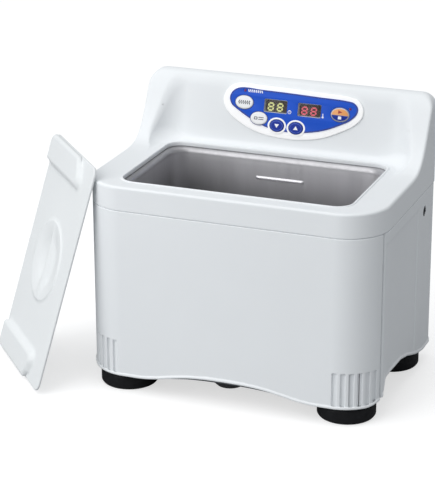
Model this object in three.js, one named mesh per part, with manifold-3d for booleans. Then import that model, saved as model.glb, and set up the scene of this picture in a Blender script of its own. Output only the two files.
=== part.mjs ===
// Bench-top heated water bath with a deep-drawn steel tank, a raised rear control panel
// and a loose lid that leans against the left front corner.
// Millimetres, +Z up, +X to the right of the user, +Y towards the back.
import * as THREE from "three";
import { mergeVertices } from "three/addons/utils/BufferGeometryUtils.js";
import Module from "manifold-3d";

const wasm = await Module();
wasm.setup();

// ---------------------------------------------------------------- driving dimensions
const HALF_W = 152; // half of the housing's width
const FRONT_Y = -100;
const REAR_Y = 100;
const FRONT_R = 43; // plan radius of the two front corners
const REAR_R = 9; // plan radius of the two rear corners
const WALL = 3; // moulded wall thickness
const DECK_Z = 216.5; // top of the flat deck above the bench
const TOP_Z = 284.5; // top of the rear control panel
const SEAM_Z = 192; // parting line between the top housing and the lower shells
const SEAM_GAP = 0.6; // shadow gap in every parting line
const SHELL_SPLIT_Y = -71; // vertical parting line on each side
const SKIRT_Z = 17.5; // lower edge of the shells at the feet
const GAP = 0.3; // clearance between stacked parts

const OPEN_HALF_W = 116; // opening in the deck
const OPEN_FRONT_Y = -81;
const OPEN_REAR_Y = 55;
const OPEN_R = 25;
const OPEN_MID_Y = (OPEN_FRONT_Y + OPEN_REAR_Y) / 2;
const TANK_INSET = 3.6; // from the opening's edge to the tank's inner wall
const TANK_HALF_W = OPEN_HALF_W - TANK_INSET;
const TANK_FRONT_Y = OPEN_FRONT_Y + TANK_INSET;
const TANK_REAR_Y = OPEN_REAR_Y - TANK_INSET;
const TANK_R = 22;
const TANK_FLOOR_Z = 113; // inner floor
const TANK_T = 1.2; // sheet thickness
const FLANGE_Z = 212.4; // top of the tank's flange, under the deck

const LEAN = THREE.MathUtils.degToRad(15); // back lean of the control panel
const PANEL_Y = 66.5; // the panel's front plane stands at PANEL_Y at height PANEL_Z
const PANEL_Z = 218;

const PLATE_Z = 41; // underside of the steel base plate
const PLATE_T = 1.5;
const UNDER_PLATE_Z = PLATE_Z - 0.4; // top of what sits below the plate

// The bath's own centre line and mid-depth, measured from the part's origin, which is the
// middle of the bottom of the box round the bath and its leaning lid.
const BATH_X = 63.72;
const BATH_Y = 18.2;

const SIDES = [[-1, "left"], [1, "right"]];

// ---------------------------------------------------------------- materials
const MATERIALS = {
  white: { color: 0xe3e6ea, roughness: 0.42 },
  black: { color: 0x141518, roughness: 0.7 },
  steel: { color: 0xb9b7b4, roughness: 0.32, metalness: 1 },
  basePlate: { color: 0x8d9095, roughness: 0.4, metalness: 1 },
  bracket: { color: 0x9da0a5, roughness: 0.4, metalness: 1 },
  transducer: { color: 0x9c9fa3, roughness: 0.35, metalness: 1 },
  heatSink: { color: 0x2b2d31, roughness: 0.5, metalness: 1 },
  standoff: { color: 0xc9b26b, roughness: 0.4, metalness: 1 },
  heaterMat: { color: 0xb4542c, roughness: 0.75 },
  coil: { color: 0xa4622f, roughness: 0.5 },
  board: { color: 0x1d5a37, roughness: 0.55 },
  bezel: { color: 0xf4f5f6, roughness: 0.35 },
  overlay: { color: 0x2456c8, roughness: 0.35 },
  window: { color: 0x2a2024, roughness: 0.1, transparent: true, opacity: 0.6 },
  led: { color: 0xff3a2a, roughness: 0.3, emissive: 0xff2010, emissiveIntensity: 1 },
  rocker: { color: 0x1b1c1f, roughness: 0.45 },
};
const digitsMaterial = (emissive) =>
  ({ color: 0x101214, roughness: 0.4, emissive, emissiveIntensity: 0.4 });
const keyMaterial = (color) => ({ color, roughness: 0.35 });
const cableMaterial = (color) => ({ color, roughness: 0.6 });

// ---------------------------------------------------------------- solids and meshes
const solid = (source) => {
  const bare = source.index ? source.toNonIndexed() : source.clone();
  bare.deleteAttribute("normal");
  bare.deleteAttribute("uv");
  const merged = mergeVertices(bare, 1e-4);
  return new wasm.Manifold(
    new wasm.Mesh({
      numProp: 3,
      vertProperties: new Float32Array(merged.attributes.position.array),
      triVerts: new Uint32Array(merged.index.array),
    }),
  );
};
const geometry = (body) => {
  const mesh = body.getMesh();
  const result = new THREE.BufferGeometry();
  const positions = new Float32Array(mesh.vertProperties);
  result.setAttribute("position", new THREE.BufferAttribute(positions, 3));
  result.setIndex(new THREE.BufferAttribute(new Uint32Array(mesh.triVerts), 1));
  result.computeVertexNormals();
  return result;
};
const join = (first, ...others) => others.reduce((body, other) => body.add(other), first);
const cut = (first, ...others) => others.reduce((body, other) => body.subtract(other), first);

const bath = new THREE.Group();
bath.position.set(BATH_X, BATH_Y, 0);
const add = (name, body, material) => {
  const mesh = new THREE.Mesh(geometry(body), new THREE.MeshStandardMaterial(material));
  mesh.name = name;
  bath.add(mesh);
  return mesh;
};

// ---------------------------------------------------------------- outlines
const polygon = (points) => new THREE.Shape(points.map(([x, y]) => new THREE.Vector2(x, y)));

// Closed counter-clockwise outline; each corner is [x, y, radius].
const rounded = (corners, segments) =>
  polygon(corners.flatMap(([x, y, radius], i) => {
    if (radius === 0) return [[x, y]];
    const [previousX, previousY] = corners[(i + corners.length - 1) % corners.length];
    const [nextX, nextY] = corners[(i + 1) % corners.length];
    const back = new THREE.Vector2(previousX - x, previousY - y).normalize();
    const ahead = new THREE.Vector2(nextX - x, nextY - y).normalize();
    const half = Math.acos(THREE.MathUtils.clamp(back.dot(ahead), -1, 1)) / 2;
    const reach = radius / Math.tan(half); // from the corner to where the arc starts
    const inward = back.clone().add(ahead).normalize().multiplyScalar(radius / Math.sin(half));
    const centreX = x + inward.x;
    const centreY = y + inward.y;
    const start = Math.atan2(y + back.y * reach - centreY, x + back.x * reach - centreX);
    let end = Math.atan2(y + ahead.y * reach - centreY, x + ahead.x * reach - centreX);
    while (end - start > Math.PI) end -= 2 * Math.PI;
    while (start - end > Math.PI) end += 2 * Math.PI;
    return Array.from({ length: segments + 1 }, (_, k) => {
      const angle = start + ((end - start) * k) / segments;
      return [centreX + radius * Math.cos(angle), centreY + radius * Math.sin(angle)];
    });
  }));
// Rectangle centred on x = 0, with one radius for its front corners and one for its rear.
const roundedRect = (halfWidth, [front, rear], [frontRadius, rearRadius], segments) =>
  rounded([
    [-halfWidth, rear, rearRadius],
    [-halfWidth, front, frontRadius],
    [halfWidth, front, frontRadius],
    [halfWidth, rear, rearRadius],
  ], segments);
// The housing's plan outline, drawn in by an inset.
const plan = (inset) =>
  roundedRect(HALF_W - inset, [FRONT_Y + inset, REAR_Y - inset],
    [FRONT_R - inset, Math.max(REAR_R - inset, 1)], 8);
// The deck opening and the tank's inner wall, each grown outwards.
const openingShape = (grow, segments = 6) =>
  roundedRect(OPEN_HALF_W + grow, [OPEN_FRONT_Y - grow, OPEN_REAR_Y + grow],
    [OPEN_R + grow, OPEN_R + grow], segments);
const tankShape = (grow) =>
  roundedRect(TANK_HALF_W + grow, [TANK_FRONT_Y - grow, TANK_REAR_Y + grow],
    [TANK_R + grow, TANK_R + grow], 6);
const ellipse = (x, y, halfWidth, halfHeight, segments) =>
  polygon(Array.from({ length: segments }, (_, i) => {
    const angle = (2 * Math.PI * i) / segments;
    return [x + halfWidth * Math.cos(angle), y + halfHeight * Math.sin(angle)];
  }));
const rect = ([left, right, bottom, top], grow = 0) =>
  polygon([
    [left - grow, bottom - grow],
    [right + grow, bottom - grow],
    [right + grow, top + grow],
    [left - grow, top + grow],
  ]);

// ---------------------------------------------------------------- primitives
// Extents are given as [from, to] ranges.
const around = (centre, half) => [centre - half, centre + half];
const length = ([from, to]) => to - from;
const middle = ([from, to]) => (from + to) / 2;
// X range between two depths inside a side wall's outer face; negative depths lie outside.
const sideRange = (side, deep, shallow) =>
  side > 0 ? [HALF_W - deep, HALF_W - shallow] : [-HALF_W + shallow, -HALF_W + deep];

const extrude = (shape, depth) =>
  new THREE.ExtrudeGeometry(shape, { depth, bevelEnabled: false });
const axes = (...vectors) =>
  new THREE.Matrix4().makeBasis(...vectors.map((vector) => new THREE.Vector3(...vector)));
// Outline in the (x, y) plane, drawn out along Z.
const prismZ = (shape, range) =>
  solid(extrude(shape, length(range)).translate(0, 0, range[0]));
// Outline in the (y, z) plane, drawn out along X.
const prismX = (shape, range) =>
  solid(extrude(shape, length(range))
    .applyMatrix4(axes([0, 1, 0], [0, 0, 1], [1, 0, 0])).translate(range[0], 0, 0));
// Outline in the (x, z) plane, drawn out along Y.
const prismY = (shape, range) =>
  solid(extrude(shape, length(range))
    .applyMatrix4(axes([1, 0, 0], [0, 0, 1], [0, -1, 0])).translate(0, range[1], 0));
const box = (xRange, yRange, zRange) =>
  solid(new THREE.BoxGeometry(length(xRange), length(yRange), length(zRange))
    .translate(middle(xRange), middle(yRange), middle(zRange)));
const cylinder = (range, radius, segments) =>
  new THREE.CylinderGeometry(radius, radius, length(range), segments);
const rodX = (range, y, z, radius, segments) =>
  solid(cylinder(range, radius, segments).rotateZ(Math.PI / 2).translate(middle(range), y, z));
const rodY = (x, range, z, radius, segments) =>
  solid(cylinder(range, radius, segments).translate(x, middle(range), z));
const rodZ = (x, y, range, radius, segments) =>
  solid(cylinder(range, radius, segments).rotateX(Math.PI / 2).translate(x, y, middle(range)));
// Profile of [radius, z] points turned about an upright axis.
const turned = (profile, x, y, segments) =>
  solid(new THREE.LatheGeometry(profile.map((point) => new THREE.Vector2(...point)), segments)
    .rotateX(Math.PI / 2).translate(x, y, 0));
const tube = (points, radius, steps) => {
  const extrudePath = new THREE.CatmullRomCurve3(points.map((p) => new THREE.Vector3(...p)));
  const section = ellipse(0, 0, radius, radius, 8);
  return solid(new THREE.ExtrudeGeometry(section, { steps, bevelEnabled: false, extrudePath }));
};
const boxRow = ({ count, start, pitch, width }, yRange, zRange) =>
  Array.from({ length: count }, (_, k) =>
    box([start + pitch * k, start + width + pitch * k], yRange, zRange));

// ---------------------------------------------------------------- control panel layout
// The panel's own frame: x to the right, y up the lean, z out towards the user.
const panelMatrix = new THREE.Matrix4()
  .makeRotationX(Math.PI / 2 - LEAN)
  .setPosition(0, PANEL_Y, PANEL_Z);
const fromPanel = (body) => solid(geometry(body).applyMatrix4(panelMatrix));
const onPanel = (shape, range) => fromPanel(prismZ(shape, range));
const KEYS = [
  { name: "heater", x: -45.2, y: 43, halfWidth: 9.6, halfHeight: 6.8, color: 0xf2f2f2 },
  { name: "mode", x: -28, y: 28.2, halfWidth: 9.0, halfHeight: 6.5, color: 0xf2f2f2 },
  { name: "down", x: -8.1, y: 22.6, halfWidth: 7.6, halfHeight: 6.2, color: 0x1b3f96 },
  { name: "up", x: 12.3, y: 22, halfWidth: 7.6, halfHeight: 6.2, color: 0x1b3f96 },
  { name: "start_stop", x: 57.6, y: 40.2, halfWidth: 9.7, halfHeight: 7.0, color: 0xe08a4c },
];
// Bounds are left, right, bottom, top.
const WINDOWS = [
  { name: "time", bounds: [-23.4, 0.8, 35.6, 48.4], glow: 0xc8dc32 },
  { name: "temperature", bounds: [12.8, 37, 34.9, 47.7], glow: 0xe02434 },
];
const LEDS = [
  { name: "led_heater", x: -45.4, y: 55 },
  { name: "led_run", x: 67.6, y: 46.8 },
];

// ---------------------------------------------------------------- top housing
// Upper quarter of a circle in five [y, z] points, turning clockwise from the start angle.
const quarter = (y, z, radius, start) =>
  [0, 1, 2, 3, 4].map((k) => {
    const angle = start - (k * Math.PI) / 8;
    return [y + radius * Math.cos(angle), z + radius * Math.sin(angle)];
  });
// Side profiles in [y, z], listed from the front edge to the rear.
const SIDE_SWEEP = [
  [18, 216.5], [30, 217.5], [40, 220.8], [48, 226.5], [55, 234.5], [62, 245],
  [68.5, 257], [74.5, 268], [80, 276.3], [86, 281.8], [92, TOP_Z],
];
const INNER_SWEEP = [
  [26, DECK_Z - WALL], [43, 218.5], [52, 225.5], [59, 233.5], [66, 244],
  [72.5, 256], [78.5, 267], [84, 275], [90, 279.5],
];
const EDGE_R = 4; // front edge of the deck
const CREST_R = 6; // rear edge of the top
const CROWN_R = 15; // upper left and right corners, seen from the front
const HOLLOW_Z = SEAM_Z - 5; // the hollow starts below the seam
const outerProfile = polygon([
  [FRONT_Y, SEAM_Z],
  ...quarter(FRONT_Y + EDGE_R, DECK_Z - EDGE_R, EDGE_R, Math.PI),
  ...SIDE_SWEEP,
  ...quarter(REAR_Y - CREST_R, TOP_Z - CREST_R, CREST_R, Math.PI / 2),
  [REAR_Y, SEAM_Z],
].reverse());
const innerProfile = polygon([
  [FRONT_Y + WALL, HOLLOW_Z],
  [FRONT_Y + WALL, DECK_Z - WALL],
  ...INNER_SWEEP,
  [REAR_Y - WALL, 279.5],
  [REAR_Y - WALL, HOLLOW_Z],
].reverse());
const crown = (inset) =>
  rounded([
    [-HALF_W + inset, 180, 0],
    [HALF_W - inset, 180, 0],
    [HALF_W - inset, TOP_Z - inset, CROWN_R - inset],
    [-HALF_W + inset, TOP_Z - inset, CROWN_R - inset],
  ], 5);

// The space in front of the control panel; its rear wall leans with the panel.
const SCOOP_HALF_W = 140;
const SCOOP_R = 30;
const leanShear = new THREE.Matrix4().set(
  1, 0, 0, 0,
  0, 1, Math.tan(LEAN), 0,
  0, 0, 1, 0,
  0, 0, 0, 1,
);
const scoop = (grow, bottom) => {
  const shape = roundedRect(SCOOP_HALF_W + grow, [-40, PANEL_Y + grow], [0, SCOOP_R + grow], 8);
  return solid(extrude(shape, TOP_Z + 10 - bottom)
    .translate(0, 0, bottom - PANEL_Z)
    .applyMatrix4(leanShear)
    .translate(0, 0, PANEL_Z));
};

const topHousing = () => {
  const outside = prismX(outerProfile, around(0, HALF_W))
    .intersect(prismZ(plan(0), [SEAM_Z, TOP_Z + 1]))
    .intersect(prismY(crown(0), [FRONT_Y - 1, REAR_Y + 1]));
  const hollow = prismX(innerProfile, around(0, HALF_W - WALL))
    .intersect(prismZ(plan(WALL), [HOLLOW_Z, TOP_Z]))
    .intersect(prismY(crown(WALL), [FRONT_Y, REAR_Y]))
    .subtract(scoop(WALL, DECK_Z - WALL));
  const through = [-12, 6];
  return cut(
    outside,
    scoop(0, DECK_Z),
    hollow,
    prismZ(openingShape(0, 8), [205, 225]),
    ...KEYS.map(({ x, y }) => onPanel(ellipse(x, y, 3.2, 3.2, 14), through)),
    ...WINDOWS.map(({ bounds }) => onPanel(rect(bounds, -0.6), through)),
    ...LEDS.map(({ x, y }) => onPanel(ellipse(x, y, 1.6, 1.6, 12), through)),
  );
};
add("top_housing", topHousing(), MATERIALS.white);

// ---------------------------------------------------------------- lower shells
const shellWall = prismZ(plan(0), [SKIRT_Z, SEAM_Z - SEAM_GAP])
  .subtract(prismZ(plan(WALL), [SKIRT_Z - 1, SEAM_Z - SEAM_GAP + 1]));
// inner ledge just under the base plate
const ledge = prismZ(plan(WALL - 0.5), [PLATE_Z - 4.4, UNDER_PLATE_Z])
  .subtract(prismZ(plan(WALL + 8), [PLATE_Z - 6, PLATE_Z + 2]));
const frontRegion = box([-200, 200], [FRONT_Y - 1, SHELL_SPLIT_Y - SEAM_GAP / 2], [0, 300]);
const rearRegion = box([-200, 200], [SHELL_SPLIT_Y + SEAM_GAP / 2, REAR_Y + 1], [0, 300]);

// Shallow arch under the front, in (x, z).
const ARCH_FRONT_Z = 28;
const ARCH_HALF_W = 82;
const archFront = () => {
  const points = [[-ARCH_HALF_W, 5]];
  for (let k = 0; k <= 20; k++) {
    const x = -ARCH_HALF_W + (2 * ARCH_HALF_W * k) / 20;
    const wave = Math.cos((Math.PI * x) / (2 * ARCH_HALF_W)) ** 2;
    points.push([x, SKIRT_Z + (ARCH_FRONT_Z - SKIRT_Z) * wave * (1.35 - 0.35 * wave)]);
  }
  points.push([ARCH_HALF_W, 5]);
  return polygon(points.reverse());
};
// Upright flutes low on each front corner, spread round the corner's arc.
const FLUTE = { count: 7, firstAngle: 1.5, pitchAngle: 10.2, width: 3.4, depth: 2.4, height: 31 };
const FLUTE_MID_Z = 39.5;
const flute = (side, k) => {
  const angle = THREE.MathUtils.degToRad(FLUTE.firstAngle + FLUTE.pitchAngle * k);
  return solid(new THREE.BoxGeometry(FLUTE.width, FLUTE.depth, FLUTE.height)
    .rotateZ(side * angle)
    .translate(
      side * (HALF_W - FRONT_R + FRONT_R * Math.sin(angle)),
      FRONT_Y + FRONT_R - FRONT_R * Math.cos(angle),
      FLUTE_MID_Z,
    ));
};
const frontShell = () => {
  let shell = shellWall.intersect(frontRegion);
  shell = shell.subtract(prismY(archFront(), [FRONT_Y - 2, -70]));
  for (const [side] of SIDES)
    for (let k = 0; k < FLUTE.count; k++) shell = shell.subtract(flute(side, k));
  return shell.add(ledge.intersect(frontRegion));
};
add("front_shell", frontShell(), MATERIALS.white);

// Arch under each side, in [y, z].
const ARCH_SIDE = [
  [-62, 5], [-62, 20], [-59, 28], [-55, 35], [-48, 38], [-8, 38],
  [14, 33], [34, 26], [52, 21], [70, SKIRT_Z], [70, 5],
];
const SIDE_SCREW = [62, 171]; // y and z of the screw in each side
const REAR_CUT = around(REAR_Y, 10); // y range that passes through the rear wall
const FITTINGS_X = 96; // mains inlet and switch, one above the other
const INLET_Z = 72;
const SWITCH_Z = 118;
const VENTS = { count: 9, start: -118, pitch: 13, width: 7 };
const rearShell = () => {
  const archSide = prismX(polygon([...ARCH_SIDE].reverse()), around(0, HALF_W + 2));
  let shell = shellWall.intersect(rearRegion);
  // each side is let in a little
  for (const [side] of SIDES)
    shell = shell.subtract(box(sideRange(side, 0.8, -2), [SHELL_SPLIT_Y + 6, 40], [0, 180]));
  shell = shell.subtract(archSide);
  // screw boss, head recess and shaft hole
  for (const [side] of SIDES) {
    shell = shell.add(rodX(sideRange(side, 9, 1), ...SIDE_SCREW, 7, 18));
    shell = shell.subtract(rodX(sideRange(side, 6.2, -2), ...SIDE_SCREW, 4.6, 18));
    shell = shell.subtract(rodX(sideRange(side, 12, 0), ...SIDE_SCREW, 2.1, 12));
  }
  shell = cut(
    shell,
    ...boxRow(VENTS, REAR_CUT, [96, 150]),
    box(around(FITTINGS_X, 14), REAR_CUT, around(INLET_Z, 16)),
    box(around(FITTINGS_X, 11), REAR_CUT, around(SWITCH_Z, 7)),
  );
  return shell.add(ledge.intersect(rearRegion).subtract(archSide));
};
add("rear_shell", rearShell(), MATERIALS.white);

const sideScrew = (side) => {
  const [y, z] = SIDE_SCREW;
  const head = rodX(sideRange(side, 5.9, 3.4), y, z, 3.8, 16);
  const shaft = rodX(sideRange(side, 20, 5), y, z, 1.8, 12);
  const slot = box(sideRange(side, 4.6, 0), around(y, 2.6), around(z, 0.5));
  return cut(join(head, shaft), slot);
};
for (const [side, name] of SIDES) add("side_screw_" + name, sideScrew(side), MATERIALS.steel);

// ---------------------------------------------------------------- base plate and feet
const FOOT_R = 29;
const FEET = [
  ["front_left", -115, -67],
  ["front_right", 115, -67],
  ["rear_left", -119, 68],
  ["rear_right", 119, 68],
];
const DRAIN = [-3, -75.5]; // x and y of the drain plug
const PLATE_SLOTS = { count: 8, start: -60, pitch: 16, width: 8 };
const basePlate = () => {
  const through = [PLATE_Z - 1, PLATE_Z + 4];
  return cut(
    prismZ(plan(WALL + 0.5), [PLATE_Z, PLATE_Z + PLATE_T]),
    ...FEET.map(([, x, y]) => rodZ(x, y, through, 2.9, 16)),
    ...boxRow(PLATE_SLOTS, [-20, 30], through),
    rodZ(...DRAIN, through, 4.2, 16),
  );
};
add("base_plate", basePlate(), MATERIALS.basePlate);

// [radius, z]
const FOOT_PROFILE = [
  [5.4, 0], [27.4, 0], [FOOT_R, 1.6], [FOOT_R, 14.6], [27.6, 16.4], [21, 16.8],
  [19, UNDER_PLATE_Z], [2.9, UNDER_PLATE_Z], [2.9, 8], [5.4, 8], [5.4, 0],
];
const footScrew = (x, y) => {
  const head = rodZ(x, y, [4.2, 7.7], 4.7, 16);
  const shaft = rodZ(x, y, [7, PLATE_Z + PLATE_T + 5], 2.4, 12);
  return cut(join(head, shaft), box(around(x, 3), around(y, 0.6), [3, 5.6]));
};
for (const [name, x, y] of FEET) {
  add("foot_" + name, turned(FOOT_PROFILE, x, y, 40), MATERIALS.black);
  add("foot_screw_" + name, footScrew(x, y), MATERIALS.steel);
}
// [radius, z]
const DRAIN_PROFILE = [
  [0, 18.5], [9, 18.5], [12.5, 21], [12.5, UNDER_PLATE_Z], [3.8, UNDER_PLATE_Z],
  [3.8, PLATE_Z + 4], [0, PLATE_Z + 4],
];
add("drain_plug", turned(DRAIN_PROFILE, ...DRAIN, 24), MATERIALS.black);

// ---------------------------------------------------------------- tank
const SHOULDER_R = 3;
const FLANGE_UNDER_Z = FLANGE_Z - TANK_T;
const tankBody = () => {
  let tank = prismZ(tankShape(TANK_T), [TANK_FLOOR_Z - TANK_T, FLANGE_Z - 0.6]);
  tank = tank.add(prismZ(openingShape(8), [FLANGE_UNDER_Z, FLANGE_Z]));
  tank = tank.subtract(prismZ(tankShape(0), [TANK_FLOOR_Z, FLANGE_Z + 5]));
  // two steps of the rolled shoulder, within the flange's thickness
  for (let k = 0; k < 2; k++) {
    const angle = (Math.PI / 6) * (k + 0.5);
    const grow = SHOULDER_R * (1 - Math.sin(angle));
    const bottom = FLANGE_Z - SHOULDER_R + SHOULDER_R * Math.cos(angle);
    tank = tank.subtract(prismZ(tankShape(grow), [bottom, FLANGE_Z + 5]));
  }
  // pressed water-level mark on the rear wall
  return tank.add(rodX([-23, 27], TANK_REAR_Y + 0.2, 189, 1.1, 10));
};
add("tank", tankBody(), MATERIALS.steel);

const gasket = prismZ(openingShape(7), [FLANGE_Z + GAP, DECK_Z - WALL - GAP])
  .subtract(prismZ(openingShape(-0.6), [200, 230]));
add("tank_gasket", gasket, MATERIALS.black);

// An angle under each end of the flange: a flat leg and a hanging outer leg.
const bracket = (side) => {
  const x = side * (OPEN_HALF_W + 12.2);
  const yRange = [-50, 24];
  return join(
    box(around(x, 11.5), yRange, [FLANGE_UNDER_Z - GAP - 2, FLANGE_UNDER_Z - GAP]),
    box(around(x + side * 8.5, 1), yRange, [FLANGE_UNDER_Z - 16, FLANGE_UNDER_Z - 1]),
  );
};
for (const [side, name] of SIDES) add("tank_bracket_" + name, bracket(side), MATERIALS.bracket);

// ---------------------------------------------------------------- what heats and shakes the tank
const UNDER_TANK_Z = TANK_FLOOR_Z - TANK_T - GAP;
// [radius, depth below UNDER_TANK_Z]
const TRANSDUCER_PROFILE = [
  [0, 52], [17, 52], [17, 34], [19, 33.5], [19, 22], [17, 21.5], [22.5, 3], [22.5, 0], [0, 0],
].map(([radius, depth]) => [radius, UNDER_TANK_Z - depth]);
for (const [side, name] of SIDES) {
  const body = turned(TRANSDUCER_PROFILE, side * 52, OPEN_MID_Y, 28);
  add("transducer_" + name, body, MATERIALS.transducer);
}

const MAT_T = 2;
const matFrontY = TANK_FRONT_Y - TANK_T - GAP;
const matRearY = TANK_REAR_Y + TANK_T + GAP;
for (const [name, yRange] of [
  ["front", [matFrontY - MAT_T, matFrontY]],
  ["rear", [matRearY, matRearY + MAT_T]],
]) add("heater_mat_" + name, box([-85, 85], yRange, [120, 170]), MATERIALS.heaterMat);

const cutoutTab = (xRange) =>
  box(xRange, around(OPEN_MID_Y, 2), [UNDER_TANK_Z - 16, UNDER_TANK_Z - 6]);
const thermalCutout = join(
  rodZ(0, OPEN_MID_Y, [UNDER_TANK_Z - 7, UNDER_TANK_Z], 8, 20),
  cutoutTab([-4, -2.4]),
  cutoutTab([2.4, 4]),
);
add("thermal_cutout", thermalCutout, MATERIALS.black);

const tankSideX = TANK_HALF_W + TANK_T;
const temperatureProbe = join(
  rodX([tankSideX + GAP, tankSideX + 5], OPEN_MID_Y, 150, 5, 16),
  rodX([tankSideX + 4, tankSideX + 16], OPEN_MID_Y, 150, 2.2, 12),
);
add("temperature_probe", temperatureProbe, MATERIALS.steel);

// ---------------------------------------------------------------- electronics
const FINS = { count: 7, start: -39, pitch: 11, width: 2 };
const SINK_Z = [66, 126];
const heatSink = join(box([-40, 30], [66.4, 69.4], SINK_Z), ...boxRow(FINS, [58.5, 67], SINK_Z));
add("power_board", box([-70, 70], [72, 73.6], [52, 150]), MATERIALS.board);
add("heat_sink", heatSink, MATERIALS.heatSink);
add("output_coil", rodY(52, [54.5, 71.7], 90, 15, 24), MATERIALS.coil);
for (const [k, x] of [[1, -64], [2, 64]])
  add("board_standoff_" + k, rodY(x, [73.9, 96.7], 60, 3, 8), MATERIALS.standoff);

// heights out of the panel's plane
const BOARD_FACE = -7.6;
const PART_BACK = BOARD_FACE + GAP; // back of the parts in front of the control board
add("control_board", onPanel(rect([-64, 76, 12, 60]), [-9.2, BOARD_FACE]), MATERIALS.board);
for (const { name, bounds, glow } of WINDOWS)
  add("digits_" + name, onPanel(rect(bounds, -1.4), [PART_BACK, -2.6]), digitsMaterial(glow));

// ---------------------------------------------------------------- panel face
// [x, y] on the panel. Smooth closed outlines, nearly flat across the top and bowed below.
const BEZEL = [
  [-68.3, 46], [-66, 36.5], [-58, 28], [-44, 19.6], [-26, 13.2], [-4, 10.4], [18, 10.6],
  [40, 14.6], [60, 23], [74, 31.5], [80.6, 40], [80.4, 49], [74.5, 56.6], [64, 59],
  [36, 60.2], [6, 61.2], [-26, 61.8], [-53, 62.2], [-63.5, 56.5],
];
const OVERLAY = [
  [-61.4, 46.8], [-59, 40], [-52, 35], [-37.4, 27], [-18, 19.6], [2, 17.2], [21, 18.2],
  [40, 22], [56, 28.4], [69, 35.6], [75, 42.6], [75.4, 48.5], [71, 53.2], [62, 54.8],
  [36, 55.6], [6, 56.6], [-26, 57.3], [-51, 57.6], [-58.6, 53.4],
];
const faceSheet = (points, range) => {
  const vectors = points.map(([x, y]) => new THREE.Vector3(x, y, 0));
  const curve = new THREE.CatmullRomCurve3(vectors, true, "centripetal");
  const shape = polygon(curve.getPoints(57).slice(0, -1).map(({ x, y }) => [x, y]));
  const through = [-5, 10];
  return fromPanel(cut(
    prismZ(shape, range),
    ...KEYS.map(({ x, y, halfWidth, halfHeight }) =>
      prismZ(ellipse(x, y, halfWidth + 0.35, halfHeight + 0.35, 28), through)),
    ...WINDOWS.map(({ bounds }) => prismZ(rect(bounds, 0.3), through)),
    ...LEDS.map(({ x, y }) => prismZ(ellipse(x, y, 1.5, 1.5, 12), through)),
  ));
};
add("panel_bezel", faceSheet(BEZEL, [0.3, 1.5]), MATERIALS.bezel);
add("panel_overlay", faceSheet(OVERLAY, [1.8, 2.3]), MATERIALS.overlay);
for (const { name, bounds } of WINDOWS)
  add("display_window_" + name, onPanel(rect(bounds), [0.6, 2.1]), MATERIALS.window);
for (const { name, x, y } of LEDS)
  add(name, onPanel(ellipse(x, y, 1.2, 1.2, 12), [PART_BACK, 2.2]), MATERIALS.led);
for (const { name, x, y, halfWidth, halfHeight, color } of KEYS) {
  // cap above the overlay, stem down to the switch below the housing's wall
  const cap = prismZ(ellipse(x, y, halfWidth, halfHeight, 28), [1, 3]);
  const stem = prismZ(ellipse(x, y, 2.4, 2.4, 12), [-3.6, 1.5]);
  add("key_" + name, fromPanel(cap.add(stem)), keyMaterial(color));
  const switchShape = rect([...around(x, 3), ...around(y, 3)]);
  add("switch_" + name, onPanel(switchShape, [PART_BACK, -4.6]), MATERIALS.black);
}

// ---------------------------------------------------------------- mains inlet and switch
const inletSocket = () => {
  const body = join(
    box(around(FITTINGS_X, 13.6), [82, REAR_Y + 1], around(INLET_Z, 15.6)),
    box(around(FITTINGS_X, 16.5), [REAR_Y + GAP, REAR_Y + 2.3], around(INLET_Z, 18.5)),
  );
  const recessed = cut(
    body,
    box(around(FITTINGS_X, 12), [87, REAR_Y + 5], [INLET_Z - 5, INLET_Z + 11.5]),
    box(around(FITTINGS_X, 12), [86, REAR_Y + 5], [INLET_Z - 14.2, INLET_Z - 7]),
  );
  // pins, as offsets in x and z
  const pins = [[-7, 1], [7, 1], [0, 6]].map(([x, z]) =>
    box(around(FITTINGS_X + x, 1), [86, REAR_Y - 1], around(INLET_Z + z, 2)));
  return join(recessed, ...pins);
};
add("inlet_socket", inletSocket(), MATERIALS.black);

const fuseDrawer = join(
  box(around(FITTINGS_X, 11.6), [86.5, REAR_Y + 1.6], [INLET_Z - 13.8, INLET_Z - 7.4]),
  box(around(FITTINGS_X, 5), [REAR_Y + 1.5, REAR_Y + 3], [INLET_Z - 12.2, INLET_Z - 9]),
);
add("fuse_drawer", fuseDrawer, MATERIALS.black);

const switchFrame = join(
  box(around(FITTINGS_X, 10.6), [88, REAR_Y + 1], around(SWITCH_Z, 6.6)),
  box(around(FITTINGS_X, 12.6), [REAR_Y + GAP, REAR_Y + 2.2], around(SWITCH_Z, 8.8)),
).subtract(box(around(FITTINGS_X, 9.2), [92, REAR_Y + 5], around(SWITCH_Z, 5.2)));
add("switch_frame", switchFrame, MATERIALS.black);

// [x, y, radius], before the rocker is tilted about its upright axis
const ROCKER = [
  [-8.6, 2.2, 0.8], [-8.2, -2.6, 1], [0, -4.6, 2],
  [8.2, -2.6, 1], [8.6, 2.2, 0.8], [0, 0.9, 6],
];
const ROCKER_H = 9.4;
const rocker = solid(extrude(rounded(ROCKER, 3), ROCKER_H)
  .rotateZ(THREE.MathUtils.degToRad(9))
  .translate(FITTINGS_X, REAR_Y - 0.6, SWITCH_Z - ROCKER_H / 2));
add("switch_rocker", rocker, MATERIALS.rocker);

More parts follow.
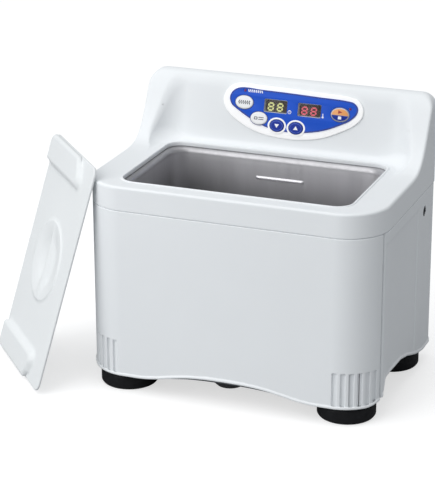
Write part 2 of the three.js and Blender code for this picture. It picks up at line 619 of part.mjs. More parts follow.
// ---------------------------------------------------------------- wiring
const CABLES = [
  {
    name: "display_cable", color: 0x8a8d92, radius: 2.4, steps: 16,
    points: [[30, 80.6, 216], [30, 84, 200], [28, 86, 180], [20, 84, 160], [10, 78.2, 146]],
  },
  {
    name: "mains_cable", color: 0x3b3d42, radius: 2.6, steps: 14,
    points: [[96, 78.6, 68], [93, 76.2, 63], [88, 75.6, 59], [80, 75, 57], [71.5, 74.8, 57]],
  },
  {
    name: "transducer_cable", color: 0x7a2222, radius: 1.8, steps: 16,
    points: [[52, 8.6, 76], [52, 24, 70], [50, 44, 66], [46, 60, 64], [44, 69.5, 63]],
  },
];
for (const { name, color, radius, steps, points } of CABLES)
  add(name, tube(points, radius, steps), cableMaterial(color));

// ---------------------------------------------------------------- lid
const LID_HALF_L = 117.5;
const LID_HALF_B = 70;
const LID_T = 2.6;
const LID_R = 9;
const LID_PAD = 5.5; // height of the two end pads
const PAD_L = 29;
const GRIP_Z = LID_T + 7;
const GRIP_T = 2.4;
// centre of the sheet's inner face when shut
const LID_CLOSED = [0, OPEN_MID_Y, DECK_Z + LID_PAD + 0.35];
const LID_AXIS_POINT = [-117.189, -106.073, 227.534];
const LID_AXIS = new THREE.Vector3(-0.349116, 0.904942, 0.243237).normalize();
const LID_SWING = THREE.MathUtils.degToRad(247.977); // leaning pose to shut

const lidShape =
  roundedRect(LID_HALF_L, around(0, LID_HALF_B), [LID_R, LID_R], 5);
// A pad on the inner face at one end, ending short of the front edge.
const lidPad = (side) => {
  const [left, right] = around(side * (LID_HALF_L - PAD_L / 2), PAD_L / 2);
  const front = -LID_HALF_B + 25;
  const shape = rounded([
    [left, LID_HALF_B, side < 0 ? LID_R : 5],
    [left, front, 6],
    [right, front, 6],
    [right, LID_HALF_B, side < 0 ? 5 : LID_R],
  ], 3);
  return prismZ(shape, [-LID_PAD, 0.5]).intersect(prismZ(lidShape, [-LID_PAD, 1]));
};
const lidBody = () => {
  const sheet = prismZ(lidShape, [0, LID_T]);
  // raised round grip on the outside, hollow underneath on either side of a bar
  const grip = turned(
    [[0, LID_T - 1], [38, LID_T - 1], [35, LID_T + 5], [30, GRIP_Z], [0, GRIP_Z]], 0, 0, 32);
  const hollow = turned(
    [[0, -1], [35, -1], [32.5, LID_T + 2.6], [28, GRIP_Z - GRIP_T], [0, GRIP_Z - GRIP_T]],
    0, 0, 32);
  const bar = prismZ(roundedRect(36, [-7, 7], [3, 3], 3), [-2, 20]);
  return cut(join(sheet, lidPad(-1), lidPad(1), grip), hollow.subtract(bar));
};
// Modelled shut, then turned back about the swing axis into its leaning pose.
const translation = (vector) => new THREE.Matrix4().makeTranslation(...vector);
const leaningPose = translation(LID_AXIS_POINT)
  .multiply(new THREE.Matrix4().makeRotationAxis(LID_AXIS, -LID_SWING))
  .multiply(translation(LID_AXIS_POINT.map((x) => -x)))
  .multiply(translation(LID_CLOSED));
add("lid", lidBody(), MATERIALS.white).applyMatrix4(leaningPose);

const root = new THREE.Group();
root.add(bath);
export default root;
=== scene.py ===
"""A bench-top ultrasonic bath: steel tank, white housing, leaning key panel and a leaning lid.

Z is up, the front faces -Y and +X is the right-hand side. Shapes are worked out in millimetres
about the vertical centre line of the top housing; to_row moves them into the frame in metres.
Housing and lid are distance fields, negative inside the material, turned into meshes.
"""

import math

import bpy
import numpy as np
from mathutils import Matrix, Vector


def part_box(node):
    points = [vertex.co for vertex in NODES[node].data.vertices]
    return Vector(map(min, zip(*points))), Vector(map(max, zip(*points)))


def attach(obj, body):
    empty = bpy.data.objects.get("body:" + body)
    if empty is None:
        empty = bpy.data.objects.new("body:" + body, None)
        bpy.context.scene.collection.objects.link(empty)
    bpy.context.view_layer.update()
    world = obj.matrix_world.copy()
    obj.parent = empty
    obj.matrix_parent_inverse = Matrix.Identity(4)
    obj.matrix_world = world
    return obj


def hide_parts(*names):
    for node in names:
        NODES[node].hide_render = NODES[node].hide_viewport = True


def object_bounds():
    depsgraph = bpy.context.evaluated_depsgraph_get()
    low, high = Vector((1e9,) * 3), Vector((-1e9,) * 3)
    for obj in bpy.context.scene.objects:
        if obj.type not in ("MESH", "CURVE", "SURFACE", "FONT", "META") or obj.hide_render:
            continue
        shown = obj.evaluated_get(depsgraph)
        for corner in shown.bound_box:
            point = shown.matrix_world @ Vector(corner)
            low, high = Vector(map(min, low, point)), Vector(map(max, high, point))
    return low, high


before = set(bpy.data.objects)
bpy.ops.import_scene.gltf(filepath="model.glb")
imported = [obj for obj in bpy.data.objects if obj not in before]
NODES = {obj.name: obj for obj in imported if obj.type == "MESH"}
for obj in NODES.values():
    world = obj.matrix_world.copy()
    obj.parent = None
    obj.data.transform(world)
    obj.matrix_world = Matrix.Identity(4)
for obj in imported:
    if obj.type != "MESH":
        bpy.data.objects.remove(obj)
CAD_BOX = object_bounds()

# ------------------------------------------------------------------ dimensions, in millimetres
HALF_WIDTH, HALF_DEPTH = 152.0, 100.0
CORNER = 43.0  # radius of the upright front corners
WALL = 3.0
TOP = 284.5
DECK = 216.5
SEAM = 192.0  # height where the top housing meets the shells
SEAM_GAP = 0.6
TANK_Y = -13.0
SCREW_Y, SCREW_Z = 62.0, 171.0  # side screw wells

# The panel face: u runs along +X, v up the slope and n out of the face.
LEAN = math.radians(15)
PANEL_Y, PANEL_Z = 66.5, 218.0
SIN, COS = math.sin(LEAN), math.cos(LEAN)
# key: centre u, v and half axes
KEYS = {
    "key_heater": (-45.2, 43.0, 9.6, 6.8),
    "key_mode": (-28.0, 28.2, 9.0, 6.5),
    "key_down": (-8.1, 22.6, 7.6, 6.2),
    "key_up": (12.3, 22.0, 7.6, 6.2),
    "key_start_stop": (57.6, 40.2, 9.7, 7.0),
}
# display: left, right, bottom, top
WINDOWS = {"time": (-23.4, 0.8, 35.6, 48.4), "temperature": (12.8, 37.0, 34.9, 47.7)}
LEDS = {"led_heater": (-45.4, 55.0), "led_run": (67.6, 46.8)}

# ------------------------------------------------------------------ frame
_low, _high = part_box("top_housing")
CENTRE_X = (_low.x + _high.x) * 500.0
ORIGIN = np.array([CENTRE_X, (_low.y + _high.y) * 500.0, 0.0])


def to_row(points):
    """Millimetres about the centre line, to metres in the frame."""
    return (np.asarray(points, float) + ORIGIN) / 1000.0


def plan_centre_and_top(node):
    """Centre x and y of a node, and its highest z, in millimetres about the centre line."""
    low, high = (np.array(corner) * 1000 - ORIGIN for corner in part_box(node))
    return (low[0] + high[0]) / 2, (low[1] + high[1]) / 2, high[2]


def panel(u, v, n):
    u, v, n = (np.asarray(c, float) for c in (u, v, n))
    y = PANEL_Y + v * SIN - n * COS
    z = PANEL_Z + v * COS + n * SIN
    return np.stack(np.broadcast_arrays(u, y, z), -1)


# ------------------------------------------------------------------ distance-field toolkit
def meet(a, b, radius):
    """What a and b share, with the edge between them rounded."""
    corner = np.hypot(np.maximum(a + radius, 0), np.maximum(b + radius, 0))
    return np.minimum(np.maximum(a, b), -radius) + corner


def join(a, b, radius):
    """a and b together, with the inner corner between them filleted."""
    corner = np.hypot(np.maximum(radius - a, 0), np.maximum(radius - b, 0))
    return np.maximum(np.minimum(a, b), radius) - corner


def cut(solid, tool):
    return np.maximum(solid, -tool)


def between(value, low, high):
    return np.maximum(low - value, value - high)


def round_rect(x, y, half_x, half_y, radius):
    out_x, out_y = np.abs(x) - half_x + radius, np.abs(y) - half_y + radius
    corner = np.hypot(np.maximum(out_x, 0), np.maximum(out_y, 0))
    return np.minimum(np.maximum(out_x, out_y), 0) + corner - radius


def smooth_step(start, stop, x):
    t = np.clip((x - start) / (stop - start), 0, 1)
    return t * t * (3 - 2 * t)


def smoothed(values, spacing, spread, reach, mode="edge"):
    """Evenly spaced values under a Gaussian that reaches so many samples each way."""
    kernel = np.exp(-0.5 * (np.arange(-reach, reach + 1) * spacing / spread) ** 2)
    return np.convolve(np.pad(values, reach, mode=mode), kernel / kernel.sum(), "valid")


def grid_lines(start, *runs):
    """Grid lines from the start through runs of (end, spacing)."""
    lines = [start]
    for stop, spacing in runs:
        count = round((stop - start) / spacing)
        lines.extend(start + (stop - start) * (k + 1) / count for k in range(count))
        start = stop
    return np.array(lines)


def gradient(field, points, reach):
    slopes = np.empty_like(points)
    for k in range(3):
        moved = points.copy()
        moved[:, k] += reach
        ahead = field(*moved.T)
        moved[:, k] -= 2 * reach
        slopes[:, k] = (ahead - field(*moved.T)) / (2 * reach)
    return slopes


CELL_CORNERS = [(i, j, k) for i in (0, 1) for j in (0, 1) for k in (0, 1)]
CELL_EDGES = [(a, b) for a in range(8) for b in range(a + 1, 8)
              if sum(abs(CELL_CORNERS[a][c] - CELL_CORNERS[b][c]) for c in range(3)) == 1]
# for each edge direction, the two steps to the cells around a grid edge
CELL_STEPS = [((0, 1, 0), (0, 0, 1)), ((0, 0, 1), (1, 0, 0)), ((1, 0, 0), (0, 1, 0))]
SLAB = 24  # grid planes sampled at once, which limits memory
SETTLE_ROUNDS = 5
SETTLE_REACH, NORMAL_REACH = 0.05, 0.22


def surface(field, xs, ys, zs):
    """Surface of field = 0 on an uneven grid: vertices, quads and normals."""
    values = np.empty((len(xs), len(ys), len(zs)), np.float32)
    for i in range(0, len(xs), SLAB):
        values[i:i + SLAB] = field(xs[i:i + SLAB, None, None], ys[None, :, None], zs[None, None, :])
    inside = values < 0
    shape = tuple(n - 1 for n in inside.shape)
    count = np.zeros(shape, np.uint8)
    for i, j, k in CELL_CORNERS:
        count += inside[i:shape[0] + i, j:shape[1] + j, k:shape[2] + k]
    active = (count > 0) & (count < 8)
    cells = np.argwhere(active)
    vertex_of = np.full(shape, -1, np.int32)
    vertex_of[active] = np.arange(len(cells))

    # each vertex starts at the mean of its cell's edge crossings
    at = [tuple((cells + c).T) for c in CELL_CORNERS]
    value = np.stack([values[i] for i in at], 1).astype(float)
    place = np.stack([np.stack([xs[i], ys[j], zs[k]], 1) for i, j, k in at], 1)
    total, weight = np.zeros((len(cells), 3)), np.zeros(len(cells))
    for a, b in CELL_EDGES:
        cross = (value[:, a] < 0) != (value[:, b] < 0)
        drop = value[:, a] - value[:, b]
        t = np.where(cross, value[:, a] / np.where(cross, drop, 1), 0)
        point = place[:, a] + t[:, None] * (place[:, b] - place[:, a])
        total += np.where(cross[:, None], point, 0)
        weight += cross
    points = total / weight[:, None]

    # then settles onto the field without straying far from its cell
    low, high = place[:, 0], place[:, 7]
    slack = 0.35 * (high - low)
    for _ in range(SETTLE_ROUNDS):
        slope = gradient(field, points, SETTLE_REACH)
        steepness = np.maximum((slope * slope).sum(1), 0.2)
        move = -slope * (field(*points.T) / steepness)[:, None]
        points = np.clip(points + np.clip(move, -0.8, 0.8), low - slack, high + slack)
    normals = gradient(field, points, NORMAL_REACH)
    normals /= np.maximum(np.linalg.norm(normals, axis=1), 1e-9)[:, None]

    # each crossed grid edge is shared by four cells, which make one quad
    quads = []
    for direction, steps in enumerate(CELL_STEPS):
        edges = np.argwhere(np.diff(inside, axis=direction))
        keep = np.ones(len(edges), bool)
        for c in range(3):
            if c != direction:
                keep &= (edges[:, c] > 0) & (edges[:, c] < inside.shape[c] - 1)
        edges = edges[keep]
        first, second = np.array(steps)
        quad = np.stack([vertex_of[tuple((edges - back).T)]
                         for back in (first + second, second, 0 * first, first)], 1)
        flip = ~inside[tuple(edges.T)]
        quad[flip] = quad[flip][:, ::-1]
        quads.append(quad)
    return points, np.concatenate(quads), normals


# ------------------------------------------------------------------ mesh helpers
def mesh_of(name, verts, faces, normals=None, sharp=None):
    """Object from millimetre vertices; sharp is the edge angle in degrees left unsmoothed."""
    mesh = bpy.data.meshes.new(name)
    mesh.from_pydata(to_row(verts).tolist(), [],
                     faces.tolist() if isinstance(faces, np.ndarray) else faces)
    mesh.polygons.foreach_set("use_smooth", np.ones(len(mesh.polygons), bool))
    mesh.update()
    if normals is not None:
        mesh.normals_split_custom_set_from_vertices(np.asarray(normals).tolist())
    elif sharp is not None:
        mesh.set_sharp_from_angle(angle=math.radians(sharp))
    ob = bpy.data.objects.new(name, mesh)
    bpy.context.scene.collection.objects.link(ob)
    return ob


def dress(ob, body, materials, replaced=None):
    for material in materials if isinstance(materials, list) else [materials]:
        ob.data.materials.append(material)
    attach(ob, body)
    if replaced:
        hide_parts(replaced)
    return ob


def bands(size, pairs):
    """Quads between pairs of rings that have size points each."""
    return [[a * size + k, a * size + (k + 1) % size, b * size + (k + 1) % size, b * size + k]
            for a, b in pairs for k in range(size)]


def loft(rings, cap_last=True):
    size, last = len(rings[0]), len(rings) - 1
    faces = bands(size, [(a, a + 1) for a in range(last)])
    faces.append(list(range(size))[::-1])
    if cap_last:
        faces.append([last * size + k for k in range(size)])
    return np.concatenate(rings), faces


def turned(name, profile, x, y, segments=96):
    """Solid turned about the upright through x, y from (radius, z) points."""
    angle = np.arange(segments) * 2 * math.pi / segments
    rings = [np.column_stack([x + r * np.cos(angle), y + r * np.sin(angle), np.full(segments, z)])
             for r, z in profile]
    return mesh_of(name, *loft(rings), sharp=35)


def filleted(points, steps):
    """(radius, z, fillet radius) points, to a smooth (radius, z) polyline."""
    out = [points[0][:2]]
    for before, here, after in zip(points, points[1:], points[2:]):
        corner = np.array(here[:2], float)
        back, ahead = np.array(before[:2]) - corner, np.array(after[:2]) - corner
        back_length, ahead_length = np.linalg.norm(back), np.linalg.norm(ahead)
        back, ahead = back / back_length, ahead / ahead_length
        half = math.acos(float(back @ ahead)) / 2
        trim = min(here[2] / math.tan(half), back_length * 0.49, ahead_length * 0.49)
        radius = trim * math.tan(half)
        bisector = (back + ahead) / np.linalg.norm(back + ahead)
        centre = corner + bisector * radius / math.sin(half)
        start, end = corner + back * trim - centre, corner + ahead * trim - centre
        for k in range(steps + 1):
            spoke = start * (1 - k / steps) + end * (k / steps)
            out.append(centre + spoke / np.linalg.norm(spoke) * radius)
    return out + [points[-1][:2]]


# ------------------------------------------------------------------ housing fields
# side profile of the top housing, front to back: y, z
TOP_PROFILE = np.array([
    [-110, 216.5], [16, 216.5], [30, 217.5], [40, 220.8], [48, 226.5], [55, 234.5], [62, 245],
    [68.5, 257], [74.5, 268], [80, 276.6], [86, 282.6], [92, 286.6], [100, 291], [130, 291]])
# bottom edge along each side, front to back: y, z
SIDE_EDGE = np.array([
    [-110, 17.5], [-86, 17.5], [-80, 18.6], [-75.5, 20], [-71, 21.2], [-66.5, 23], [-63.7, 27.2],
    [-62, 33.5], [-60.8, 39], [-58, 40.8], [-43, 40.4], [-30, 39.4], [-10, 38.6], [14, 33],
    [34, 26], [52, 21], [70, 17.5], [90, 17.5], [120, 17.5]])
# arch in the front bottom edge, outwards from the middle: x, z
FRONT_EDGE = np.array([[0, 27.5], [20, 27.2], [40, 25.7], [60, 22.0], [74, 19.1], [88, 17.5],
                       [160, 17.5]])

Y_STEP = 0.25
SAMPLE_Y = np.arange(-110, 120.01, Y_STEP)
TOP_Z = smoothed(np.interp(SAMPLE_Y, *TOP_PROFILE.T), Y_STEP, spread=2.6, reach=48)
TOP_SLOPE = np.gradient(TOP_Z, SAMPLE_Y)
X_STEP = 0.5
SAMPLE_X = np.arange(0, 160.01, X_STEP)
ARCH_Z = smoothed(np.interp(SAMPLE_X, *FRONT_EDGE.T), X_STEP, spread=4.0, reach=24, mode="reflect")
EDGE_Z = smoothed(np.interp(SAMPLE_Y, *SIDE_EDGE.T), Y_STEP, spread=1.1, reach=32)
# the bottom edge turns up at the rear with a radius of 8
EDGE_Z = np.maximum(
    EDGE_Z, 17.5 + 8 - np.sqrt(np.maximum(64 - np.maximum(SAMPLE_Y - 92, 0) ** 2, 0)))
EDGE_STRETCH = np.sqrt(1 + np.gradient(EDGE_Z, SAMPLE_Y) ** 2)


def arch_front(x):
    return np.interp(np.abs(x), SAMPLE_X, ARCH_Z)


def footprint(x, y):
    front = meet(np.abs(x) - HALF_WIDTH, -HALF_DEPTH - y, CORNER)
    return meet(front, y - HALF_DEPTH, 9.0)


def top_housing(x, y, z):
    slope = np.interp(y, SAMPLE_Y, TOP_SLOPE)
    above = (z - np.interp(y, SAMPLE_Y, TOP_Z)) / np.sqrt(1 + slope * slope)
    width = np.abs(x)
    body = meet(width - HALF_WIDTH, z - TOP, 15.0)
    body = meet(body, -HALF_DEPTH - y, CORNER)
    body = meet(body, above, 2.6)
    body = meet(body, y - HALF_DEPTH, 6.0)
    # the space above the deck, in front of the leaning panel
    behind_panel = (y - PANEL_Y - (z - PANEL_Z) * math.tan(LEAN)) * COS
    space = meet(meet(width - 140.0, behind_panel, 30.0), DECK - z,
                 5.0 + 9.0 * smooth_step(96, 136, width))
    body = meet(body, -space, 3.6 * smooth_step(218, 232, z))
    shell = cut(body, body + WALL)
    # tank opening and the rim round it
    opening = round_rect(x, y - TANK_Y, 117.1, 68.7, 16.0)
    rim = meet(np.abs(opening - 1.3) - 1.3, between(z, 212.65, DECK + 0.8), 0.75)
    shell = meet(join(shell, rim, 0.3), -opening, 0.6)
    # display windows and key stems
    v = (y - PANEL_Y) * SIN + (z - PANEL_Z) * COS
    n = -(y - PANEL_Y) * COS + (z - PANEL_Z) * SIN
    reach = between(n, -12.0, 6.0)
    for left, right, bottom, top in WINDOWS.values():
        hole = round_rect(x - (left + right) / 2, v - (bottom + top) / 2,
                          (right - left) / 2 - 0.6, (top - bottom) / 2 - 0.6, 0.8)
        shell = cut(shell, np.maximum(hole, reach))
    for key_u, key_v, _, _ in KEYS.values():
        shell = cut(shell, np.maximum(np.hypot(x - key_u, v - key_v) - 3.2, reach))
    return meet(shell, SEAM - z, 0.6)


def tongue(plan, z):
    """Inner lip that closes the seam under the top housing."""
    upper = np.maximum(between(plan, -5.4, -3.2), between(z, 190.0, 194.6))
    lower = np.maximum(between(plan, -5.4, -1.1), between(z, 184.0, SEAM - 0.05))
    return np.minimum(upper, lower)


def lower_wall(face, bead_face, plan, height, z):
    """Wall below the seam with a bead along its bottom edge; height is measured from there."""
    bead_width, bead_height = 0.95, 1.6
    bead = np.hypot(bead_face / bead_width, (height - bead_height) / bead_height) - 1
    wall = join(face, bead * bead_width, 0.4)
    wall = meet(wall, z - (SEAM - SEAM_GAP), 0.8)
    wall = meet(wall, -height, 0.9)
    return np.minimum(cut(wall, plan + WALL), tongue(plan, z))


def front_shell(x, y, z):
    plan = footprint(x, y)
    height = z - np.maximum(arch_front(x), np.interp(y, SAMPLE_Y, EDGE_Z))
    # shallow upright flutes, six on the right front corner and five on the left
    pitch = 11.2
    angle = np.degrees(np.arctan2(np.abs(x) - (HALF_WIDTH - CORNER), -(y + HALF_DEPTH - CORNER)))
    first = np.where(x > 0, 4.4, 10.4)
    nearest = np.clip(np.round((angle - first) / pitch), 0, np.where(x > 0, 5, 4))
    across = np.radians(angle - first - pitch * nearest) * CORNER
    flute = meet(meet(np.abs(across) - 2.35, z - 54.9, 0.9), -(plan + 2.1), 0.5)
    wall = lower_wall(meet(plan, -flute, 0.6), plan, plan, height, z)
    wall = meet(wall, y + 70.8, 1.6)
    # flange behind the upright seam
    flange = np.maximum(between(y, -76.0, -68.95), between(z, 23.0, 190.0))
    return np.minimum(wall, np.maximum(between(plan, -5.2, -2.6), flange))


def rear_shell(x, y, z):
    plan, width = footprint(x, y), np.abs(x)
    stretch = np.interp(y, SAMPLE_Y, EDGE_STRETCH)
    height = (z - np.interp(y, SAMPLE_Y, EDGE_Z)) / stretch
    # a field on each side is set back by 0.8
    side = (smooth_step(-66.5, -65.3, y) * (1 - smooth_step(39, 41, y))
            * (1 - smooth_step(179.2, 180.4, z)) * smooth_step(140, 146, width))
    face = plan + 0.8 * side
    wall = lower_wall(face, face, plan, height, z)
    # screw wells: boss, recess and hole
    radius = np.hypot(y - SCREW_Y, z - SCREW_Z)
    wall = np.minimum(wall, np.maximum(radius - 7.6, between(width, 143.0, 151.0)))
    wall = meet(wall, -np.maximum(radius - 5.3, 145.8 - width), 0.5)
    wall = cut(wall, radius - 2.1)
    # row of upright slots in the back, and two rectangular openings on its right
    back = 90.0 - y
    for k in range(9):
        slot = round_rect(x + 114.5 - 13 * k, z - 123.0, 3.5, 27.0, 3.2)
        wall = meet(wall, -np.maximum(slot, back), 0.5)
    for centre_z, half_x, half_z in ((72.0, 14.0, 16.0), (118.0, 11.0, 7.0)):
        opening = round_rect(x - 96.0, z - centre_z, half_x, half_z, 1.0)
        wall = cut(wall, np.maximum(opening, back))
    return meet(wall, -(y + 68.9), 1.5)


def lid(x, y, z):
    """The lid lying shut, about its own centre."""
    outline = round_rect(x, y, 117.5, 70.0, 9.0)
    sheet = meet(outline, np.abs(z - 1.3) - 1.3, 1.1)
    # thick pads under the left and right ends, their front edges slanting
    pad_x = 88.5
    front = (-(y + 43.0) + 0.55 * (np.abs(x) - pad_x)) * 0.876
    pad = meet(meet(pad_x - np.abs(x), front, 12.0), outline, 3.0)
    pad = meet(pad, between(z, -5.0, 1.5), 4.2)
    solid = join(sheet, pad, np.clip(-(outline + 2.0) * 0.9, 0.02, 6.0))
    # round raised grip, tapering upwards
    radius = np.hypot(x, y)
    grip = meet((radius - 33.5 + (z - 2.6) * 1.05) * 0.69, z - 9.0, 4.0)
    solid = join(solid, np.maximum(grip, 1.0 - z), 6.5)
    # hollow under the grip, split by a rib along x
    hollow = meet((radius - 27.5 + z * 1.9) * 0.47, z - 4.4, 4.0)
    hollow = meet(hollow, (4.4 - np.abs(y) + 1.1 * z) * 0.67, 4.0)
    return meet(solid, -np.maximum(hollow, -6.0 - z), 6.5)


# ------------------------------------------------------------------ materials
def srgb(red, green, blue):
    channels = (c / 255.0 for c in (red, green, blue))
    return tuple(c / 12.92 if c <= 0.04045 else ((c + 0.055) / 1.055) ** 2.4
                 for c in channels) + (1.0,)


def feed(tree, socket, value):
    """Link a socket to another, or set its value."""
    if isinstance(value, bpy.types.NodeSocket):
        tree.links.new(value, socket)
    else:
        socket.default_value = value


def map_range(tree, value, source, target, smooth=False):
    node = tree.nodes.new("ShaderNodeMapRange")
    if smooth:
        node.interpolation_type = "SMOOTHSTEP"
    node.inputs["From Min"].default_value, node.inputs["From Max"].default_value = source
    node.inputs["To Min"].default_value, node.inputs["To Max"].default_value = target
    feed(tree, node.inputs["Value"], value)
    return node.outputs["Result"]


def multiply(tree, a, b):
    node = tree.nodes.new("ShaderNodeMath")
    node.operation = "MULTIPLY"
    feed(tree, node.inputs[0], a)
    feed(tree, node.inputs[1], b)
    return node.outputs[0]


def mix_colour(tree, factor, a, b):
    node = tree.nodes.new("ShaderNodeMix")
    node.data_type = "RGBA"
    for index, value in ((0, factor), (6, a), (7, b)):
        feed(tree, node.inputs[index], value)
    return node.outputs[2]


def noise(tree, vector, scale, detail):
    node = tree.nodes.new("ShaderNodeTexNoise")
    node.inputs["Scale"].default_value = scale
    node.inputs["Detail"].default_value = detail
    tree.links.new(vector, node.inputs["Vector"])
    return node.outputs["Fac"]


def look(name, colour, rough, metal=0.0, specular=0.5, drift=0.03, drift_scale=18.0,
         rough_drift=0.06, rough_scale=60.0, relief=0.04, relief_scale=1400.0,
         relief_depth=0.00006, wear=0.0, wear_colour=None, stretch=(1, 1, 1), alpha=1.0,
         glow=(1, 1, 1, 1), glow_strength=0.0):
    """Material with drifting colour and roughness, fine surface relief and worn edges."""
    material = bpy.data.materials.new(name)
    material.use_nodes = True
    tree = material.node_tree
    shader = tree.nodes["Principled BSDF"].inputs
    for label, value in (("Metallic", metal), ("IOR", 1.46), ("Specular IOR Level", specular),
                         ("Coat Roughness", 0.15), ("Alpha", alpha), ("Emission Color", glow),
                         ("Emission Strength", glow_strength)):
        shader[label].default_value = value
    coords = tree.nodes.new("ShaderNodeTexCoord")
    mapping = tree.nodes.new("ShaderNodeMapping")
    mapping.inputs["Scale"].default_value = stretch
    tree.links.new(coords.outputs["Object"], mapping.inputs["Vector"])
    vector = mapping.outputs["Vector"]
    broad = noise(tree, vector, drift_scale, detail=3.0)
    medium = noise(tree, vector, rough_scale, detail=4.0)
    fine = noise(tree, vector, relief_scale, detail=2.0)

    middle = (0.3, 0.7)  # the part of the noise range that carries the drift
    ramp = tree.nodes.new("ShaderNodeValToRGB")
    for stop, place, factor in zip(ramp.color_ramp.elements, middle, (1 - drift, 1 + drift)):
        stop.color = tuple(min(1.0, c * factor) for c in colour[:3]) + (1,)
        stop.position = place
    tree.links.new(broad, ramp.inputs["Fac"])
    base = ramp.outputs["Color"]
    if wear > 0:
        geometry = tree.nodes.new("ShaderNodeNewGeometry")
        edge = map_range(tree, geometry.outputs["Pointiness"], (0.52, 0.6), (0.0, wear))
        worn = wear_colour or tuple(min(1.0, c * 1.25 + 0.05) for c in colour[:3]) + (1,)
        base = mix_colour(tree, multiply(tree, edge, medium), base, worn)
    tree.links.new(base, shader["Base Color"])
    roughness = map_range(tree, medium, middle, (rough - rough_drift, rough + rough_drift))
    tree.links.new(roughness, shader["Roughness"])
    bump = tree.nodes.new("ShaderNodeBump")
    bump.inputs["Strength"].default_value = relief
    bump.inputs["Distance"].default_value = relief_depth
    tree.links.new(fine, bump.inputs["Height"])
    tree.links.new(bump.outputs["Normal"], shader["Normal"])
    return material


WHITE = look("moulded_white", srgb(234, 237, 239), rough=0.46, specular=0.3, drift=0.012,
             drift_scale=9, rough_drift=0.05, rough_scale=45, relief=0.35, relief_scale=1500,
             relief_depth=0.00005, wear=0.25, wear_colour=srgb(245, 246, 248))
LID_WHITE = look("lid_white", srgb(226, 229, 230), rough=0.5, specular=0.3, drift=0.012,
                 drift_scale=8, rough_drift=0.06, rough_scale=40, relief=0.3, relief_scale=1300,
                 relief_depth=0.00005, wear=0.25, wear_colour=srgb(246, 246, 248))
# a faint painted glow makes the bezel and the arrow key rings brighter than their lighting
BEZEL_GLOW_WHITE = look("bezel_white", srgb(254, 254, 254), rough=0.35, specular=0.3,
                   glow_strength=0.06, drift=0.006, relief=0.2, relief_scale=1800, wear=0.2)
BLUE = look("overlay_blue", srgb(26, 84, 202), rough=0.42, specular=0.2, drift=0.05,
            drift_scale=30, rough_drift=0.04, relief=0.25, relief_scale=2600,
            relief_depth=0.00004)
BLUE_EDGE = look("overlay_navy", srgb(16, 44, 130), rough=0.32, drift=0.05, relief=0.2)
NAVY = look("key_navy", srgb(22, 50, 152), rough=0.42, specular=0.2, drift=0.06, relief=0.25,
            relief_scale=2200, wear=0.2, wear_colour=srgb(70, 100, 190))
KEY_WHITE = look("key_white", srgb(244, 245, 246), rough=0.34, drift=0.01, relief=0.25,
                 relief_scale=2200, wear=0.2)
ORANGE = look("key_orange", srgb(232, 158, 88), rough=0.36, drift=0.05, relief=0.25,
              relief_scale=2200)
RING_GREY = look("key_ring_grey", srgb(196, 196, 206), rough=0.3, metal=0.25, drift=0.05)
RING_BLUE = look("key_ring_blue", srgb(86, 116, 205), rough=0.35, drift=0.05)
PRINT_GREY = look("print_grey", srgb(96, 100, 108), rough=0.5, drift=0.08)
PRINT_RED = look("print_red", srgb(170, 44, 40), rough=0.5, drift=0.08)
PRINT_WHITE = look("print_white", srgb(248, 249, 252), rough=0.5, drift=0.01)
LENS = look("display_lens", srgb(40, 32, 32), rough=0.1, rough_drift=0.03, alpha=0.22,
            relief=0.05, drift=0.1)
PLATE_DARK = look("display_plate", srgb(92, 80, 74), rough=0.45, drift=0.12, drift_scale=60)
GLOW_GREEN = look("digits_yellow_green", srgb(236, 238, 160), rough=0.4,
                  glow=srgb(238, 242, 164), glow_strength=0.75, drift=0.05)
GLOW_RED = look("digits_red", srgb(236, 108, 124), rough=0.4, glow=srgb(244, 108, 126),
                glow_strength=0.75, drift=0.05)
LED_RED = look("led_red", srgb(120, 56, 118), rough=0.3, specular=0.25, drift=0.1)
RUBBER = look("foot_rubber", srgb(15, 16, 19), rough=0.66, specular=0.3, drift=0.2,
              drift_scale=60, rough_drift=0.12, rough_scale=160, relief=0.5, relief_scale=900,
              relief_depth=0.00012, wear=0.35, wear_colour=srgb(54, 55, 60))
GASKET = look("gasket_rubber", srgb(52, 53, 56), rough=0.7, drift=0.15, relief=0.4,
              relief_scale=1200)
BLACK = look("black_plastic", srgb(26, 27, 30), rough=0.45, drift=0.12, drift_scale=50,
             rough_drift=0.1, relief=0.35, relief_scale=1300, relief_depth=0.00008, wear=0.4,
             wear_colour=srgb(70, 72, 78))
STEEL = look("tank_steel", srgb(226, 225, 228), rough=0.5, metal=0.85, drift=0.03,
             drift_scale=60, rough_drift=0.04, rough_scale=260, relief=0.4, relief_scale=900,
             relief_depth=0.00006, stretch=(1.0, 1.0, 0.05))


def paint_steel_shade():
    """Paint shade into the tank steel: darker down its walls, towards the left and at the rolled
    rim.
    """
    middle = CENTRE_X / 1000.0
    # axis, range along it in metres, brightness at its two ends
    shades = [("Z", (0.158, 0.2), (0.5, 1.0)),
              ("X", (middle - 0.115, middle - 0.02), (0.78, 1.0)),
              ("Z", (0.2045, 0.2105), (1.0, 0.66))]
    tree = STEEL.node_tree
    base = tree.nodes["Principled BSDF"].inputs["Base Color"]
    plain_steel = base.links[0].from_socket
    coords = tree.nodes.new("ShaderNodeTexCoord")
    split = tree.nodes.new("ShaderNodeSeparateXYZ")
    tree.links.new(coords.outputs["Object"], split.inputs[0])
    factor = None
    for direction, source, target in shades:
        shade = map_range(tree, split.outputs[direction], source, target, smooth=True)
        factor = shade if factor is None else multiply(tree, factor, shade)
    dark = (0.035, 0.034, 0.036, 1)
    tree.links.new(mix_colour(tree, factor, dark, plain_steel), base)
